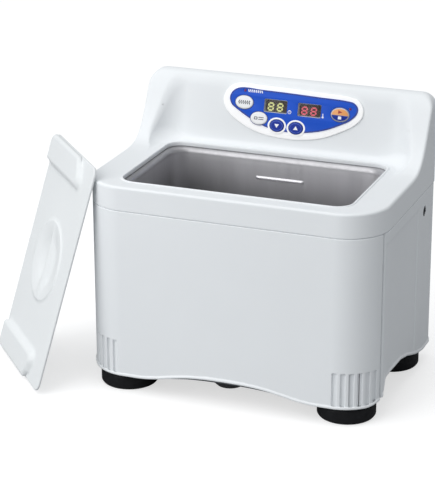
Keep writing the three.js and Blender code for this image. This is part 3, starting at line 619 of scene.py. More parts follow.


# painted shade on the tank walls, on its left side and over the rim's highlight
paint_steel_shade()
# dark grey painted into the screw wells as shade
RECESS_SHADE = look("recess_grey", srgb(96, 98, 103), rough=0.6, specular=0.25, drift=0.08)
# dark grey painted on the chassis edge as the shade under the front arch
CHASSIS_EDGE_SHADE = look("chassis_edge_painted_shade", srgb(84, 88, 92), rough=0.6, specular=0.3, drift=0.06,
               drift_scale=40)
ZINC = look("zinc_steel", srgb(168, 171, 176), rough=0.4, metal=1.0, drift=0.12,
            drift_scale=90, rough_drift=0.1, rough_scale=220, relief=0.3, relief_scale=900,
            wear=0.3)
ALU = look("cast_aluminium", srgb(160, 162, 166), rough=0.42, metal=1.0, drift=0.1,
           drift_scale=60, rough_drift=0.12, relief=0.5, relief_scale=800,
           relief_depth=0.00012, wear=0.3)
SILICONE = look("heater_silicone", srgb(176, 84, 46), rough=0.75, drift=0.08, relief=0.5,
                relief_scale=500, relief_depth=0.0002)
BOARD = look("circuit_board", srgb(26, 92, 54), rough=0.5, drift=0.2, drift_scale=220,
             rough_drift=0.12, relief=0.3, relief_scale=900)
SINK = look("heat_sink_black", srgb(38, 40, 44), rough=0.5, metal=0.8, drift=0.1, relief=0.3,
            stretch=(1, 1, 0.1), wear=0.4)
COIL = look("coil_winding", srgb(158, 92, 46), rough=0.42, metal=0.4, drift=0.25,
            drift_scale=240, relief=0.8, relief_scale=420, relief_depth=0.0004,
            stretch=(0.2, 1.0, 0.2))
BRASS = look("standoff_brass", srgb(190, 158, 92), rough=0.35, metal=1.0, drift=0.08,
             relief=0.2, wear=0.3)
CABLE_GREY = look("cable_grey", srgb(128, 131, 136), rough=0.6, drift=0.1, relief=0.3)
CABLE_RED = look("cable_red", srgb(122, 34, 34), rough=0.6, drift=0.1, relief=0.3)

# ------------------------------------------------------------------ housing
# Grids are finer where the shape turns.
dress(mesh_of("visual_top_housing", *surface(
    top_housing,
    grid_lines(-154, (-148, 1.0), (-122, 1.6), (-112, 0.8), (-88, 1.6), (88, 2.6), (112, 1.6),
               (122, 0.8), (148, 1.6), (154, 1.0)),
    grid_lines(-102, (-95, 1.0), (-88, 1.6), (-78, 0.8), (-54, 1.6), (18, 3.4), (52, 1.6),
               (60, 0.8), (92, 1.4), (102, 1.0)),
    grid_lines(191, (193.4, 0.4), (210, 2.6), (219.6, 0.6), (262, 1.5), (286.5, 1.2)))),
    "bath", WHITE, "top_housing")

dress(mesh_of("visual_front_shell", *surface(
    front_shell,
    grid_lines(-154, (-106, 0.85), (106, 2.4), (154, 0.85)),
    grid_lines(-103, (-92, 0.85), (-74, 0.9), (-69, 0.6)),
    grid_lines(15, (31, 0.9), (52, 2.2), (58, 0.8), (180, 8.0), (189.6, 1.6), (192.6, 0.3),
               (197, 1.1)))),
    "bath", WHITE, "front_shell")

rear = dress(mesh_of("visual_rear_shell", *surface(
    rear_shell,
    grid_lines(-154, (-141, 0.85), (-121, 2.5), (-4, 1.2), (78, 3.0), (114, 1.0), (141, 2.5),
               (154, 0.85)),
    grid_lines(-73, (-60, 0.7), (-40, 1.6), (36, 3.0), (44, 0.9), (56, 2.0), (69, 0.85),
               (90, 2.0), (103, 0.8)),
    grid_lines(15, (42, 0.95), (54, 3.0), (58, 1.0), (86, 2.4), (90, 1.0), (94, 2.0), (101, 0.9),
               (109, 2.6), (127, 1.0), (145, 3.0), (152, 0.9), (164, 3.0), (182, 0.9),
               (189.6, 1.6), (192.6, 0.3), (197, 1.1)))),
    "bath", [WHITE, RECESS_SHADE], "rear_shell")
# the screw wells are painted dark grey inside as shade
for face in rear.data.polygons:
    x, y, z = np.array(face.center) * 1000 - ORIGIN
    if 143.5 < abs(x) < 151.3 and math.hypot(y - SCREW_Y, z - SCREW_Z) < 5.9:
        face.material_index = 1


# ------------------------------------------------------------------ lid
def build_lid():
    """The lid, modelled shut, lifted over the opening and swung to its lean."""
    points, quads, normals = surface(
        lid,
        grid_lines(-119, (-84, 1.0), (-42, 3.0), (42, 1.3), (84, 3.0), (119, 1.0)),
        grid_lines(-72, (-66, 0.8), (-52, 1.8), (-38, 1.1), (38, 1.3), (64, 2.6), (72, 0.8)),
        grid_lines(-6.5, (11.5, 0.55)))
    swing_axis = Vector((-0.349116, 0.904942, 0.243237)).normalized()
    pivot = Vector((-117.189, -106.073, 227.534))
    shut = Matrix.Translation(Vector((0, TANK_Y, DECK + 5.5 + 0.35)))
    pose = np.array(Matrix.Translation(pivot)
                    @ Matrix.Rotation(-math.radians(247.977), 4, swing_axis)
                    @ Matrix.Translation(-pivot) @ shut)
    turn = pose[:3, :3].T
    ob = mesh_of("visual_lid", points @ turn + pose[:3, 3], quads, normals @ turn)
    dress(ob, "lid", LID_WHITE, "lid")


build_lid()

# ------------------------------------------------------------------ tank, drawn from one sheet
TANK_HALF_X = 112.4
TANK_FRONT, TANK_BACK = -77.4, 51.4
TANK_CORNER = 17.5
SHEET = 1.2
FLANGE_Z = 212.4
SHOULDER = 5.0  # rolled shoulder radius
FLOOR_Z = 113.0
FLOOR_RADIUS = 12.0
MARK_Z = 189.2


def tank_ring(grow, corner):
    """Closed plan outline grown outwards, with dense points round the ends of the level mark."""
    arc_steps = 14
    radius = corner + grow
    side = TANK_HALF_X - corner
    front, back = TANK_FRONT + corner, TANK_BACK - corner
    stations = [(-side, 0), (-26, 16), (-19, 10), (23, 15), (30, 10), (side, 16)]
    across = np.concatenate([np.linspace(a, b, count)[:-1]
                             for (a, _), (b, count) in zip(stations, stations[1:])] + [[side]])
    points = []

    def arc(x, y, start):
        for k in range(arc_steps):
            angle = start + math.pi / 2 * k / arc_steps
            points.append((x + radius * math.cos(angle), y + radius * math.sin(angle)))

    points += [(x, back + radius) for x in across[::-1][:-1]]
    arc(-side, back, math.pi / 2)
    points += [(-side - radius, y) for y in np.linspace(back, front, 13)[:-1]]
    arc(-side, front, math.pi)
    points += [(x, front - radius) for x in np.linspace(-side, side, 25)[:-1]]
    arc(side, front, 1.5 * math.pi)
    points += [(side + radius, y) for y in np.linspace(front, back, 13)[:-1]]
    arc(side, back, 0)
    return np.array(points)


def flat(ring, z):
    return np.column_stack([ring, np.full(len(ring), z)])


def tank_profile():
    """Section of the sheet as (growth of the plan outline, z), up the inside, down the outside."""
    quarter = math.pi / 2
    bend = FLOOR_Z + FLOOR_RADIUS
    under = FLOOR_Z - SHEET
    outer = SHOULDER + 0.8
    profile = [(-60, FLOOR_Z), (-36, FLOOR_Z), (-14, FLOOR_Z)]
    profile += [(-FLOOR_RADIUS + FLOOR_RADIUS * math.sin(a), bend - FLOOR_RADIUS * math.cos(a))
                for a in np.linspace(0, quarter, 9)]
    profile += [(0, z) for z in (132, 145, 160, 175, 184, 186, 187, 187.6, 188.2, 188.7, 189.2,
                                 189.7, 190.2, 190.8, 191.5, 192.5, 196, 201)]
    profile += [(SHOULDER - SHOULDER * math.cos(a), FLANGE_Z - SHOULDER + SHOULDER * math.sin(a))
                for a in np.linspace(0, quarter, 9)]
    # flange with a rounded outer edge
    profile += [(8.4, 212.4), (9.8, 212.4), (11.2, 212.3), (11.55, 211.9), (11.55, 211.5),
                (11.2, 211.2), (9.6, 211.2), (8.4, 211.2)]
    profile += [(SHEET + outer - outer * math.cos(a),
                 FLANGE_Z - SHEET - outer + outer * math.sin(a))
                for a in np.linspace(quarter, 0, 7)]
    profile += [(SHEET, z) for z in (203, 192, 175, 150, 132)]
    profile += [(-FLOOR_RADIUS + (FLOOR_RADIUS + SHEET) * math.sin(a),
                 bend - (FLOOR_RADIUS + SHEET) * math.cos(a))
                for a in np.linspace(quarter, 0, 9)]
    return profile + [(-36, under), (-60, under)]


def build_tank():
    # the innermost floor rings are scaled copies of one small outline
    floor_scale = {-60: 0.25, -36: 0.72}
    floor_ring = tank_ring(-17.0, TANK_CORNER)
    centre = np.array([0.0, TANK_Y])
    rings = []
    for grow, z in tank_profile():
        if grow in floor_scale:
            ring = centre + (floor_ring - centre) * floor_scale[grow]
        else:
            ring = tank_ring(grow, TANK_CORNER)
        if grow == 0:
            # level mark pressed into the back wall
            x, y = ring.T
            along = (smooth_step(-23.6, -22.0, x) * (1 - smooth_step(26.2, 27.8, x))
                     * (y > 51.0))
            ring[:, 1] -= 1.3 * along * np.sqrt(max(0.0, 1 - ((z - MARK_Z) / 1.5) ** 2))
        rings.append(flat(ring, z))
    dress(mesh_of("visual_tank", *loft(rings)), "bath", STEEL, "tank")


def build_gasket():
    """Rubber ring between the flange and the deck, set back behind the lip of the opening."""
    section = ((10.6, 212.7), (10.6, 213.2), (7.5, 213.2), (7.5, 212.7))  # growth, z
    rings = [flat(tank_ring(grow, 11.6), z) for grow, z in section]
    faces = bands(len(rings[0]), [(0, 1), (1, 2), (2, 3), (3, 0)])
    ob = mesh_of("visual_tank_gasket", np.concatenate(rings), faces, sharp=35)
    dress(ob, "bath", GASKET, "tank_gasket")


build_tank()
build_gasket()


# ------------------------------------------------------------------ underside
def build_foot(corner):
    x, y, top = plan_centre_and_top("foot_" + corner)
    # radius, z, fillet radius
    profile = [(5.4, 8.0, 0), (5.4, 0.2, 0.4), (10.0, 0.0, 0.3), (10.6, 1.0, 0.2),
               (22.4, 1.0, 0.2), (23.0, 0.0, 0.3), (27.2, 0.0, 2.2), (29.0, 2.6, 2.0),
               (29.0, 13.6, 2.0), (27.0, 16.2, 1.0), (21.4, 16.8, 1.0), (19.6, 20.0, 1.5),
               (19.0, top, 0.6), (2.9, top, 0.4), (2.9, 8.0, 0)]
    ob = turned("visual_foot_" + corner, filleted(profile, 5), x, y)
    dress(ob, "bath", RUBBER, "foot_" + corner)


def build_chassis_edge():
    """Folded front edge of the chassis, just behind the arch; its dark grey and its dip below the
    arch are painted shade under the lip.
    """
    front, back, top = -96.6, -95.2, 40.8
    fold = 0.4
    rings = []
    for x in np.linspace(-76, 76, 77):
        # the edge hangs below the arch so that its painted shade shows under the lip
        low = arch_front(x) - 2.9 * np.clip(1 - (x / 72.0) ** 2, 0, 1) ** 0.7
        rings.append(np.array([
            (x, front, low + fold), (x, front + fold, low), (x, back - fold, low),
            (x, back, low + fold), (x, back, top), (x, front, top)]))
    verts, faces = loft(rings)
    ob = mesh_of("chassis_front_edge", verts, [face[::-1] for face in faces], sharp=35)
    dress(ob, "bath", CHASSIS_EDGE_SHADE)


def build_drain_plug():
    x, y, top = plan_centre_and_top("drain_plug")
    # radius, z, fillet radius
    profile = [(0.02, 18.0, 0), (3.0, 18.0, 0.3), (3.4, 16.6, 0.4), (13.2, 16.6, 0.8),
               (17.2, 20.4, 1.2), (17.6, 23.5, 1.0), (17.6, 27.0, 0.8), (12.0, 28.0, 0.6),
               (11.0, top - 4.2, 0.4), (3.8, top - 4.0, 0.3), (3.6, top, 0.3), (0.02, top, 0)]
    ob = turned("visual_drain_plug", filleted(profile, 4), x, y, 120)
    # thirty grip flutes, 0.5 mm deep, round the rim; worked in metres
    coords = np.zeros(len(ob.data.vertices) * 3)
    ob.data.vertices.foreach_get("co", coords)
    coords = coords.reshape(-1, 3)
    out = coords[:, :2] - to_row([x, y, 0])[:2]
    radius = np.hypot(out[:, 0], out[:, 1])
    angle = np.arctan2(out[:, 1], out[:, 0])
    depth = (radius > 0.0168) * (0.5 + 0.5 * np.cos(angle * 30)) * 0.0005
    coords[:, :2] -= out / radius[:, None] * depth[:, None]
    ob.data.vertices.foreach_set("co", coords.ravel())
    ob.data.update()
    dress(ob, "bath", BLACK, "drain_plug")


for foot_corner in ("front_left", "front_right", "rear_left", "rear_right"):
    build_foot(foot_corner)
build_chassis_edge()
build_drain_plug()

# ------------------------------------------------------------------ panel outlines
# points the bezel and overlay outlines pass through: u, v
BEZEL = [
    [-68.3, 46], [-66, 36.5], [-58, 28], [-44, 19.6], [-26, 13.2], [-4, 10.4], [18, 10.6],
    [40, 14.6], [60, 23], [74, 31.5], [80.6, 40], [80.4, 49], [74.5, 56.6], [64, 59],
    [36, 60.2], [6, 61.2], [-26, 61.8], [-53, 62.2], [-63.5, 56.5]]
OVERLAY = [
    [-61.4, 46.8], [-59, 40], [-52, 35], [-37.4, 27], [-18, 19.6], [2, 17.2], [21, 18.2],
    [40, 22], [56, 28.4], [69, 35.6], [75, 42.6], [75.4, 48.5], [71, 53.2], [62, 54.8],
    [36, 55.6], [6, 56.6], [-26, 57.3], [-51, 57.6], [-58.6, 53.4]]


def spline(points, steps=10):
    """Closed centripetal Catmull-Rom through the points."""
    points = np.array(points, float)
    out = []
    for i in range(len(points)):
        p = [points[(i + k) % len(points)] for k in (-1, 0, 1, 2)]
        knots = [0.0]
        for k in range(3):
            knots.append(knots[-1] + math.sqrt(np.linalg.norm(p[k + 1] - p[k])))
        for k in range(steps):
            at = knots[1] + (knots[2] - knots[1]) * k / steps

            def blend(first, second, i, j):
                span = knots[j] - knots[i]
                return (knots[j] - at) / span * first + (at - knots[i]) / span * second

            a, b, c = (blend(p[j], p[j + 1], j, j + 1) for j in range(3))
            out.append(blend(blend(a, b, 0, 2), blend(b, c, 1, 3), 1, 2))
    return np.array(out)


def oval(u, v, half_u, half_v, segments=64):
    t = np.arange(segments) * 2 * math.pi / segments
    return np.column_stack([u + half_u * np.cos(t), v + half_v * np.sin(t)])


def box(left, right, bottom, top, radius):
    """Rectangle with rounded corners."""
    steps = 5
    corners = ((right - radius, top - radius, 0), (left + radius, top - radius, 90),
               (left + radius, bottom + radius, 180), (right - radius, bottom + radius, 270))
    out = []
    for u, v, start in corners:
        for k in range(steps + 1):
            a = math.radians(start + 90 * k / steps)
            out.append((u + radius * math.cos(a), v + radius * math.sin(a)))
    return np.array(out)


def inset(loop, distance):
    tangent = np.roll(loop, -1, 0) - np.roll(loop, 1, 0)
    tangent /= np.linalg.norm(tangent, axis=1)[:, None]
    normal = np.column_stack([tangent[:, 1], -tangent[:, 0]])
    u, v = loop.T
    area = 0.5 * np.sum(u * np.roll(v, -1) - np.roll(u, -1) * v)
    return loop - normal * distance * (1 if area > 0 else -1)


def encloses(loop, u, v):
    after = np.roll(loop, -1, 0)
    rise = after[:, 1] - loop[:, 1]
    crossed = (loop[:, 1] > v) != (after[:, 1] > v)
    cross_u = loop[:, 0] + ((v - loop[:, 1]) / np.where(crossed, rise, 1.0)
                            * (after[:, 0] - loop[:, 0]))
    return bool(np.sum(crossed & (cross_u > u)) % 2)


def notch(loop, u, v, half_u, half_v):
    """The loop with its run inside the oval replaced by the oval's edge; None if they are apart."""
    def in_oval(points):
        return ((points[..., 0] - u) / half_u) ** 2 + ((points[..., 1] - v) / half_v) ** 2 < 1

    covered = in_oval(loop)
    if not covered.any():
        return None
    start = int(np.flatnonzero(covered & ~np.roll(covered, 1))[0])
    loop, covered = np.roll(loop, -start, 0), np.roll(covered, -start)
    leave = int(np.argmin(covered))

    def crossing_angle(outside, inside):
        for _ in range(40):
            middle = (outside + inside) / 2
            if in_oval(middle):
                inside = middle
            else:
                outside = middle
        return math.atan2((outside[1] - v) / half_v, (outside[0] - u) / half_u)

    first = crossing_angle(loop[-1], loop[0])
    last = crossing_angle(loop[leave], loop[leave - 1])
    for way in (1, -1):
        sweep = (way * (last - first)) % (2 * math.pi) * way
        t = first + sweep * np.linspace(0, 1, 34)
        arc = np.column_stack([u + half_u * np.cos(t), v + half_v * np.sin(t)])
        if encloses(loop, *arc[17]):
            return np.concatenate([loop[leave:], arc])
    raise ValueError("no arc of the oval runs inside the loop")


def around_keys(loop, gap):
    """The loop kept clear of every key, and the holes of the keys wholly inside it."""
    holes = []
    for u, v, half_u, half_v in KEYS.values():
        notched = notch(loop, u, v, half_u + gap, half_v + gap)
        if notched is not None:
            loop = notched
        else:
            holes.append(oval(u, v, half_u + gap, half_v + gap))
    return [loop] + holes


def strip(outer, inner):
    """The strip between two loops, cut back where it meets a key."""
    for u, v, half_u, half_v in KEYS.values():
        new_outer = notch(outer, u, v, half_u + 0.4, half_v + 0.4)
        new_inner = notch(inner, u, v, half_u + 0.6, half_v + 0.6)
        if new_outer is not None and new_inner is not None:
            outer, inner = new_outer, new_inner
    return [outer, inner]


def plate(name, loops, low, high, bevel=0.2, resolution=2):
    """Plate on the panel between two n heights with rounded edges; later loops are holes."""
    curve = bpy.data.curves.new(name + "_c", "CURVE")
    curve.dimensions, curve.fill_mode = "2D", "BOTH"
    curve.extrude = max(1e-6, (high - low) / 2 - bevel)
    curve.bevel_depth, curve.bevel_resolution, curve.offset = bevel, resolution, -bevel
    for loop in loops:
        line = curve.splines.new("POLY")
        line.points.add(len(loop) - 1)
        points = np.column_stack([loop, np.zeros(len(loop)), np.ones(len(loop))])
        line.points.foreach_set("co", points.ravel())
        line.use_cyclic_u = True
    ob = bpy.data.objects.new(name + "_c", curve)
    bpy.context.scene.collection.objects.link(ob)
    bpy.context.view_layer.update()
    evaluated = ob.evaluated_get(bpy.context.evaluated_depsgraph_get())
    mesh = bpy.data.meshes.new_from_object(evaluated)
    bpy.data.objects.remove(ob)
    coords = np.zeros(len(mesh.vertices) * 3)
    mesh.vertices.foreach_get("co", coords)
    coords = coords.reshape(-1, 3)
    faces = [list(face.vertices) for face in mesh.polygons]
    bpy.data.meshes.remove(mesh)
    # weld the coincident points of the caps and the bevel, and drop collapsed faces
    _, first, merged = np.unique(np.round(coords, 4), axis=0, return_index=True,
                                 return_inverse=True)
    merged = merged.reshape(-1)
    u, v, n = coords[first].T
    welded = []
    for face in faces:
        face = [int(merged[i]) for i in face]
        face = [i for k, i in enumerate(face) if i != face[k - 1]]
        if len(set(face)) >= 3:
            welded.append(face)
    return mesh_of(name, panel(u, v, n + (low + high) / 2), welded, sharp=30)


def dome(name, u, v, half_u, half_v, profile, segments=72):
    """Oval button from (inset, n) rings, closed by a fan at the top."""
    rings = [panel(*oval(u, v, half_u - d, half_v - d, segments).T, n) for d, n in profile]
    verts, faces = loft(rings, cap_last=False)
    centre, base = len(verts), (len(profile) - 1) * segments
    verts = np.concatenate([verts, panel([u], [v], [profile[-1][1]])])
    faces += [[base + k, base + (k + 1) % segments, centre] for k in range(segments)]
    return mesh_of(name, verts, faces, sharp=50)


# ------------------------------------------------------------------ panel face
HOLE_GAP = 0.35  # clearance round each key
WINDOW_GAP = 0.3
key_holes = [oval(u, v, a + HOLE_GAP, b + HOLE_GAP) for u, v, a, b in KEYS.values()]
window_holes = [box(left - WINDOW_GAP, right + WINDOW_GAP, bottom - WINDOW_GAP,
                    top + WINDOW_GAP, 1.0) for left, right, bottom, top in WINDOWS.values()]
led_holes = [oval(u, v, 1.45, 1.45, 24) for u, v in LEDS.values()]
dress(plate("visual_panel_bezel", [spline(BEZEL)] + key_holes + window_holes + led_holes,
            0.1, 1.6, bevel=0.7, resolution=4),
      "bath", BEZEL_GLOW_WHITE, "panel_bezel")
overlay_loop = spline(OVERLAY, 24)
dress(plate("visual_panel_overlay",
            around_keys(overlay_loop, HOLE_GAP) + window_holes + led_holes,
            1.62, 2.3, bevel=0.12),
      "bath", BLUE, "panel_overlay")
dress(plate("overlay_border", strip(inset(overlay_loop, 0.25), inset(overlay_loop, 1.25)),
            2.28, 2.42, bevel=0.05),
      "bath", BLUE_EDGE)

# inset from the key's outline, n
KEYCAP = [(0.5, 0.95), (0.05, 1.0), (0.0, 1.2), (0.0, 2.2), (0.1, 2.5), (0.35, 2.75),
          (0.8, 2.92), (1.5, 3.0), (3.0, 3.02)]
ARROW_KEYS = ("key_down", "key_up")


def build_key(name):
    u, v, half_u, half_v = KEYS[name]
    if name in ARROW_KEYS:
        material, slot = NAVY, "key_blue"
    elif name == "key_start_stop":
        material, slot = RING_GREY, "key_orange"
    else:
        material, slot = KEY_WHITE, "key_white"
    cap = dome("visual_" + name, u, v, half_u, half_v, KEYCAP)
    dress(cap, name, material, name)
    # broad white ring round each arrow key, thin navy ring round the others
    if name in ARROW_KEYS:
        loops = [oval(u, v, half_u + 2.3, half_v + 2.0), oval(u, v, half_u + 0.4, half_v + 0.4)]
        ring = plate("ring_" + name[4:], loops, 1.62, 2.5, bevel=0.12)
        # the ring carries the bezel's painted glow
        dress(ring, "bath", BEZEL_GLOW_WHITE)
    else:
        loops = [oval(u, v, half_u + 0.75, half_v + 0.7),
                 oval(u, v, half_u + 0.32, half_v + 0.32)]
        ring = plate("ring_" + name[4:], loops, 2.2, 2.45, bevel=0.06)
        dress(ring, "bath", BLUE_EDGE)


for key in KEYS:
    build_key(key)


# ------------------------------------------------------------------ printed marks
def mark(name, loops, body, material, low=2.9, high=3.16):
    dress(plate(name, loops, low, high, bevel=0.04, resolution=1), body, material)


def wave(u, v, length, swing, width, turns=1.5, count=22):
    """Upright wavy stroke from u, v."""
    t = np.linspace(0, 1, count)
    line = np.column_stack([u + swing * np.sin(t * turns * 2 * math.pi), v + length * t])
    along = np.gradient(line, axis=0)
    along /= np.linalg.norm(along, axis=1)[:, None]
    side = np.column_stack([-along[:, 1], along[:, 0]]) * width / 2
    return np.concatenate([line + side, (line - side)[::-1]])


def mark_arrow(direction, corners):
    """Arrow and a thin ring on an arrow key; corners are about the key's centre."""
    key = "key_" + direction
    u, v, a, b = KEYS[key]
    mark("mark_" + direction, [np.array(corners) + [u, v]], key, PRINT_WHITE)
    ring = [oval(u, v, a - 1.2, b - 1.2), oval(u, v, a - 1.6, b - 1.6)]
    mark(f"mark_{direction}_ring", ring, key, RING_BLUE, 2.8, 3.06)


def mark_start_stop():
    """Orange upper and navy lower field, a triangle above and a square below."""
    key, slot = "key_start_stop", "key_orange"
    u, v, a, b = KEYS[key]
    # name, material, heights the field runs between as shares of the half height
    for name, material, start, stop in (("mark_start_field", ORANGE, -0.07, 1.0),
                                        ("mark_stop_field", NAVY, -0.1, -1.0)):
        t = np.linspace(math.asin(start), math.asin(stop), 40)
        half = np.column_stack([(a - 0.95) * np.cos(t), (b - 0.95) * np.sin(t)])
        loop = np.concatenate([half, half[::-1] * np.array([-1, 1])])
        mark(name, [loop + np.array([u, v])], key, material, 2.6, 3.1)
    triangle = np.array([(u - 2.0, v + 0.9), (u + 2.4, v + 2.7), (u - 2.0, v + 4.5)])
    mark("mark_start", [triangle], key, PRINT_RED, 3.0, 3.24)
    square = box(u - 1.7, u + 1.7, v - 4.6, v - 1.6, 0.3)
    mark("mark_stop", [square], key, PRINT_WHITE, 3.0, 3.24)


mark_arrow("down", [(-2.5, 1.7), (0, -2.2), (2.5, 1.7)])
mark_arrow("up", [(-2.5, -1.7), (2.5, -1.7), (0, 2.2)])
u, v = KEYS["key_heater"][:2]
mark("mark_heater", [wave(u + k * 2.2, v - 1.8, length=3.6, swing=0.45, width=0.9)
                     for k in (-2.5, -1.5, -0.5, 0.5, 1.5, 2.5)], "key_heater", PRINT_GREY)
u, v = KEYS["key_mode"][:2]
mark("mark_mode", [box(u - 5.0, u - 1.4, v - 1.5, v + 1.5, 0.5),
                   box(u - 4.2, u - 2.2, v - 0.7, v + 0.7, 0.3),
                   box(u - 0.4, u + 5.2, v + 0.6, v + 1.4, 0.3),
                   box(u - 0.4, u + 5.2, v - 1.4, v - 0.6, 0.3)], "key_mode", PRINT_GREY)
mark_start_stop()
# small symbols on the overlay: lamp caption, clock and thermometer
OVERLAY_MARKS = {
    "mark_heater_lamp": [wave(-41.4 + k * 2.05, 53.8, length=2.6, swing=0.34, width=1.05,
                              turns=1.0, count=14) for k in range(8)],
    "mark_clock": [oval(4.1, 37.6, 1.9, 1.9, 32), oval(4.1, 37.6, 1.35, 1.35, 32),
                   box(3.85, 4.35, 37.5, 38.7, 0.1), box(4.3, 5.1, 37.35, 37.75, 0.1)],
    "mark_thermometer": [oval(39.6, 35.9, 1.05, 1.05, 24)],
    "mark_thermometer_stem": [box(39.2, 40.0, 36.5, 39.6, 0.38)],
}
for name, loops in OVERLAY_MARKS.items():
    mark(name, loops, "bath", PRINT_WHITE, 2.25, 2.42)

# ------------------------------------------------------------------ displays and lamps
# the seven bars of a numeral, end to end in half-height units
BARS = [((0, 2), (1, 2)), ((1, 2), (1, 1)), ((1, 1), (1, 0)), ((1, 0), (0, 0)),
        ((0, 0), (0, 1)), ((0, 1), (0, 2)), ((0, 1), (1, 1))]
NUMERAL_WIDTH, NUMERAL_HEIGHT, NUMERAL_PITCH = 5.0, 7.2, 9.8
BAR_HALF = 0.8
BAR_GAP = 0.28
SLANT = 0.09


def numeral(u, v):
    """Pointed bars of one seven-segment numeral, all lit."""
    loops = []
    for ends in BARS:
        a, b = (np.array([u + x * NUMERAL_WIDTH, v + y * NUMERAL_HEIGHT / 2]) for x, y in ends)
        along = (b - a) / np.linalg.norm(b - a)
        side = np.array([-along[1], along[0]]) * BAR_HALF
        a, b = a + along * BAR_GAP, b - along * BAR_GAP
        point = along * BAR_HALF
        loop = np.array([a, a + point + side, b - point + side, b, b - point - side,
                         a + point - side])
        loop[:, 0] += (loop[:, 1] - v) * SLANT
        loops.append(loop)
    return loops


for name, window in WINDOWS.items():
    node = "display_window_" + name
    dress(plate("visual_" + node, [box(*window, 0.8)], 0.8, 2.2), "bath", LENS,
          node)
# display, glow, slot, lower left corner of the first numeral
for name, glow, slot, (u, v) in (
    ("time", GLOW_GREEN, "digits_yellow_green", (-20.2, 37.6)),
    ("temperature", GLOW_RED, "digits_red", (15.9, 36.9)),
):
    node = "digits_" + name
    left, right, bottom, top = WINDOWS[name]
    backing = box(left + 0.9, right - 0.9, bottom + 0.9, top - 0.9, 0.4)
    dress(plate("visual_" + node, [backing], -7.3, -1.2), "bath", PLATE_DARK, node)
    dress(plate(node + "_lit", numeral(u, v) + numeral(u + NUMERAL_PITCH, v), -1.3, -0.9,
                bevel=0.08, resolution=1), "bath", glow)
LED_PROFILE = [(0.2, -7.3), (0.0, -7.0), (0.0, 1.9), (0.1, 2.15), (0.35, 2.35), (0.7, 2.45)]
for node, (u, v) in LEDS.items():
    dress(dome("visual_" + node, u, v, 1.25, 1.25, LED_PROFILE, 32), "bath", LED_RED,
          node)

# ------------------------------------------------------------------ carried-over nodes
# other screws are zinc and everything else is black
FINISH = {
    "base_plate": ZINC, "tank_gasket": GASKET, "tank_bracket_left": ZINC,
    "tank_bracket_right": ZINC, "transducer_left": ALU, "transducer_right": ALU,
    "heater_mat_front": SILICONE, "heater_mat_rear": SILICONE, "temperature_probe": ZINC,
    "power_board": BOARD, "control_board": BOARD, "heat_sink": SINK, "output_coil": COIL,
    "board_standoff_1": BRASS, "board_standoff_2": BRASS, "display_cable": CABLE_GREY,
    "transducer_cable": CABLE_RED, "side_screw_left": BLACK, "side_screw_right": BLACK,
}
for name, ob in NODES.items():
    if ob.hide_render:
        continue
    ob.data.materials.clear()
    ob.data.materials.append(FINISH.get(name) or (ZINC if "screw" in name else BLACK))
    if name != "tank_gasket":
        low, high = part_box(name)
        bevel = ob.modifiers.new("edge_break", "BEVEL")
        bevel.width = max(0.00008, min(0.0004, min(high - low) * 0.08))
        bevel.segments = 2
        bevel.limit_method = "ANGLE"
        bevel.angle_limit = math.radians(40)
    for face in ob.data.polygons:
        face.use_smooth = True
    ob.data.set_sharp_from_angle(angle=math.radians(32))


# ------------------------------------------------------------------ stage
def build_floor():
    half = 9.0
    mesh = bpy.data.meshes.new("floor")
    mesh.from_pydata([(-half, -half, 0), (half, -half, 0), (half, half, 0), (-half, half, 0)],
                     [], [[0, 1, 2, 3]])
    floor = bpy.data.objects.new("floor", mesh)
    bpy.context.scene.collection.objects.link(floor)
    floor.location.z = -0.0002
    material = look("floor_pale", (0.5, 0.5, 0.5, 1), rough=0.8, drift=0.004, relief=0.0,
                    specular=0.05)
    mesh.materials.append(material)
    # the camera sees a floor lifted by a glow; other rays see a plain grey one
    tree = material.node_tree
    shader = tree.nodes["Principled BSDF"].inputs
    pale = shader["Base Color"].links[0].from_socket
    seen = tree.nodes.new("ShaderNodeLightPath").outputs["Is Camera Ray"]
    tree.links.new(mix_colour(tree, seen, (0.42, 0.425, 0.435, 1), pale), shader["Base Color"])
    glow_strength = 0.62
    tree.links.new(multiply(tree, seen, glow_strength), shader["Emission Strength"])


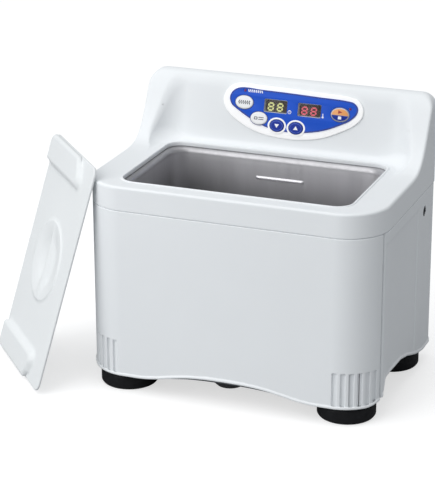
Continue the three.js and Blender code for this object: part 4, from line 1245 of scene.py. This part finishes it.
def build_world():
    """Soft bluish surroundings, plain white to the camera only."""
    world = bpy.data.worlds.new("studio")
    world.use_nodes = True
    tree = world.node_tree
    ambient = tree.nodes["Background"]
    ambient.inputs["Color"].default_value = (0.95, 0.975, 1.0, 1)
    ambient.inputs["Strength"].default_value = 0.485
    backdrop = tree.nodes.new("ShaderNodeBackground")
    backdrop.inputs["Color"].default_value = (1, 1, 1, 1)
    pick = tree.nodes.new("ShaderNodeMixShader")
    seen = tree.nodes.new("ShaderNodeLightPath")
    tree.links.new(seen.outputs["Is Camera Ray"], pick.inputs[0])
    tree.links.new(ambient.outputs[0], pick.inputs[1])
    tree.links.new(backdrop.outputs[0], pick.inputs[2])
    tree.links.new(pick.outputs[0], tree.nodes["World Output"].inputs["Surface"])
    bpy.context.scene.world = world


def aim(ob, direction):
    ob.rotation_euler = Vector(direction).to_track_quat("-Z", "Y").to_euler()
    bpy.context.scene.collection.objects.link(ob)


def build_lights():
    sun = bpy.data.lights.new("overhead", "SUN")
    sun.energy = 1.04
    sun.angle = math.radians(55)
    aim(bpy.data.objects.new("overhead", sun), (0.16, 0.27, -0.95))
    soft = bpy.data.lights.new("softbox", "AREA")
    soft.shape = "RECTANGLE"
    soft.size, soft.size_y = 1.3, 1.2
    soft.energy = 12.0
    ob = bpy.data.objects.new("softbox", soft)
    middle = (CAD_BOX[0] + CAD_BOX[1]) / 2
    ob.location = middle + Vector((-0.75, -1.15, 0.75))
    aim(ob, middle - ob.location)


def build_camera():
    """Long lens from the front, right and above."""
    turn, tilt, roll = (math.radians(a) for a in (21.387, 20.406, -0.216))
    distance = 2.044893  # metres
    target = Vector(to_row([-59.523, 42.953, 110.0]).tolist())
    forward = Vector((-math.sin(turn) * math.cos(tilt), math.cos(turn) * math.cos(tilt),
                      -math.sin(tilt)))
    level = Vector((math.cos(turn), math.sin(turn), 0))
    upright = level.cross(forward)
    right = level * math.cos(roll) + upright * math.sin(roll)
    up = -level * math.sin(roll) + upright * math.cos(roll)
    camera = bpy.data.cameras.new("camera")
    ob = bpy.data.objects.new("camera", camera)
    bpy.context.scene.collection.objects.link(ob)
    pose = Matrix((right, up, -forward)).transposed().to_4x4()
    pose.translation = target - forward * distance
    ob.matrix_world = pose
    camera.lens = 143.6412364
    camera.shift_x, camera.shift_y = -0.0057272727, 0.0021111111
    camera.clip_end = 60
    bpy.context.scene.camera = ob


build_floor()
build_world()
build_lights()
build_camera()
bpy.context.scene.view_settings.view_transform = "Standard"
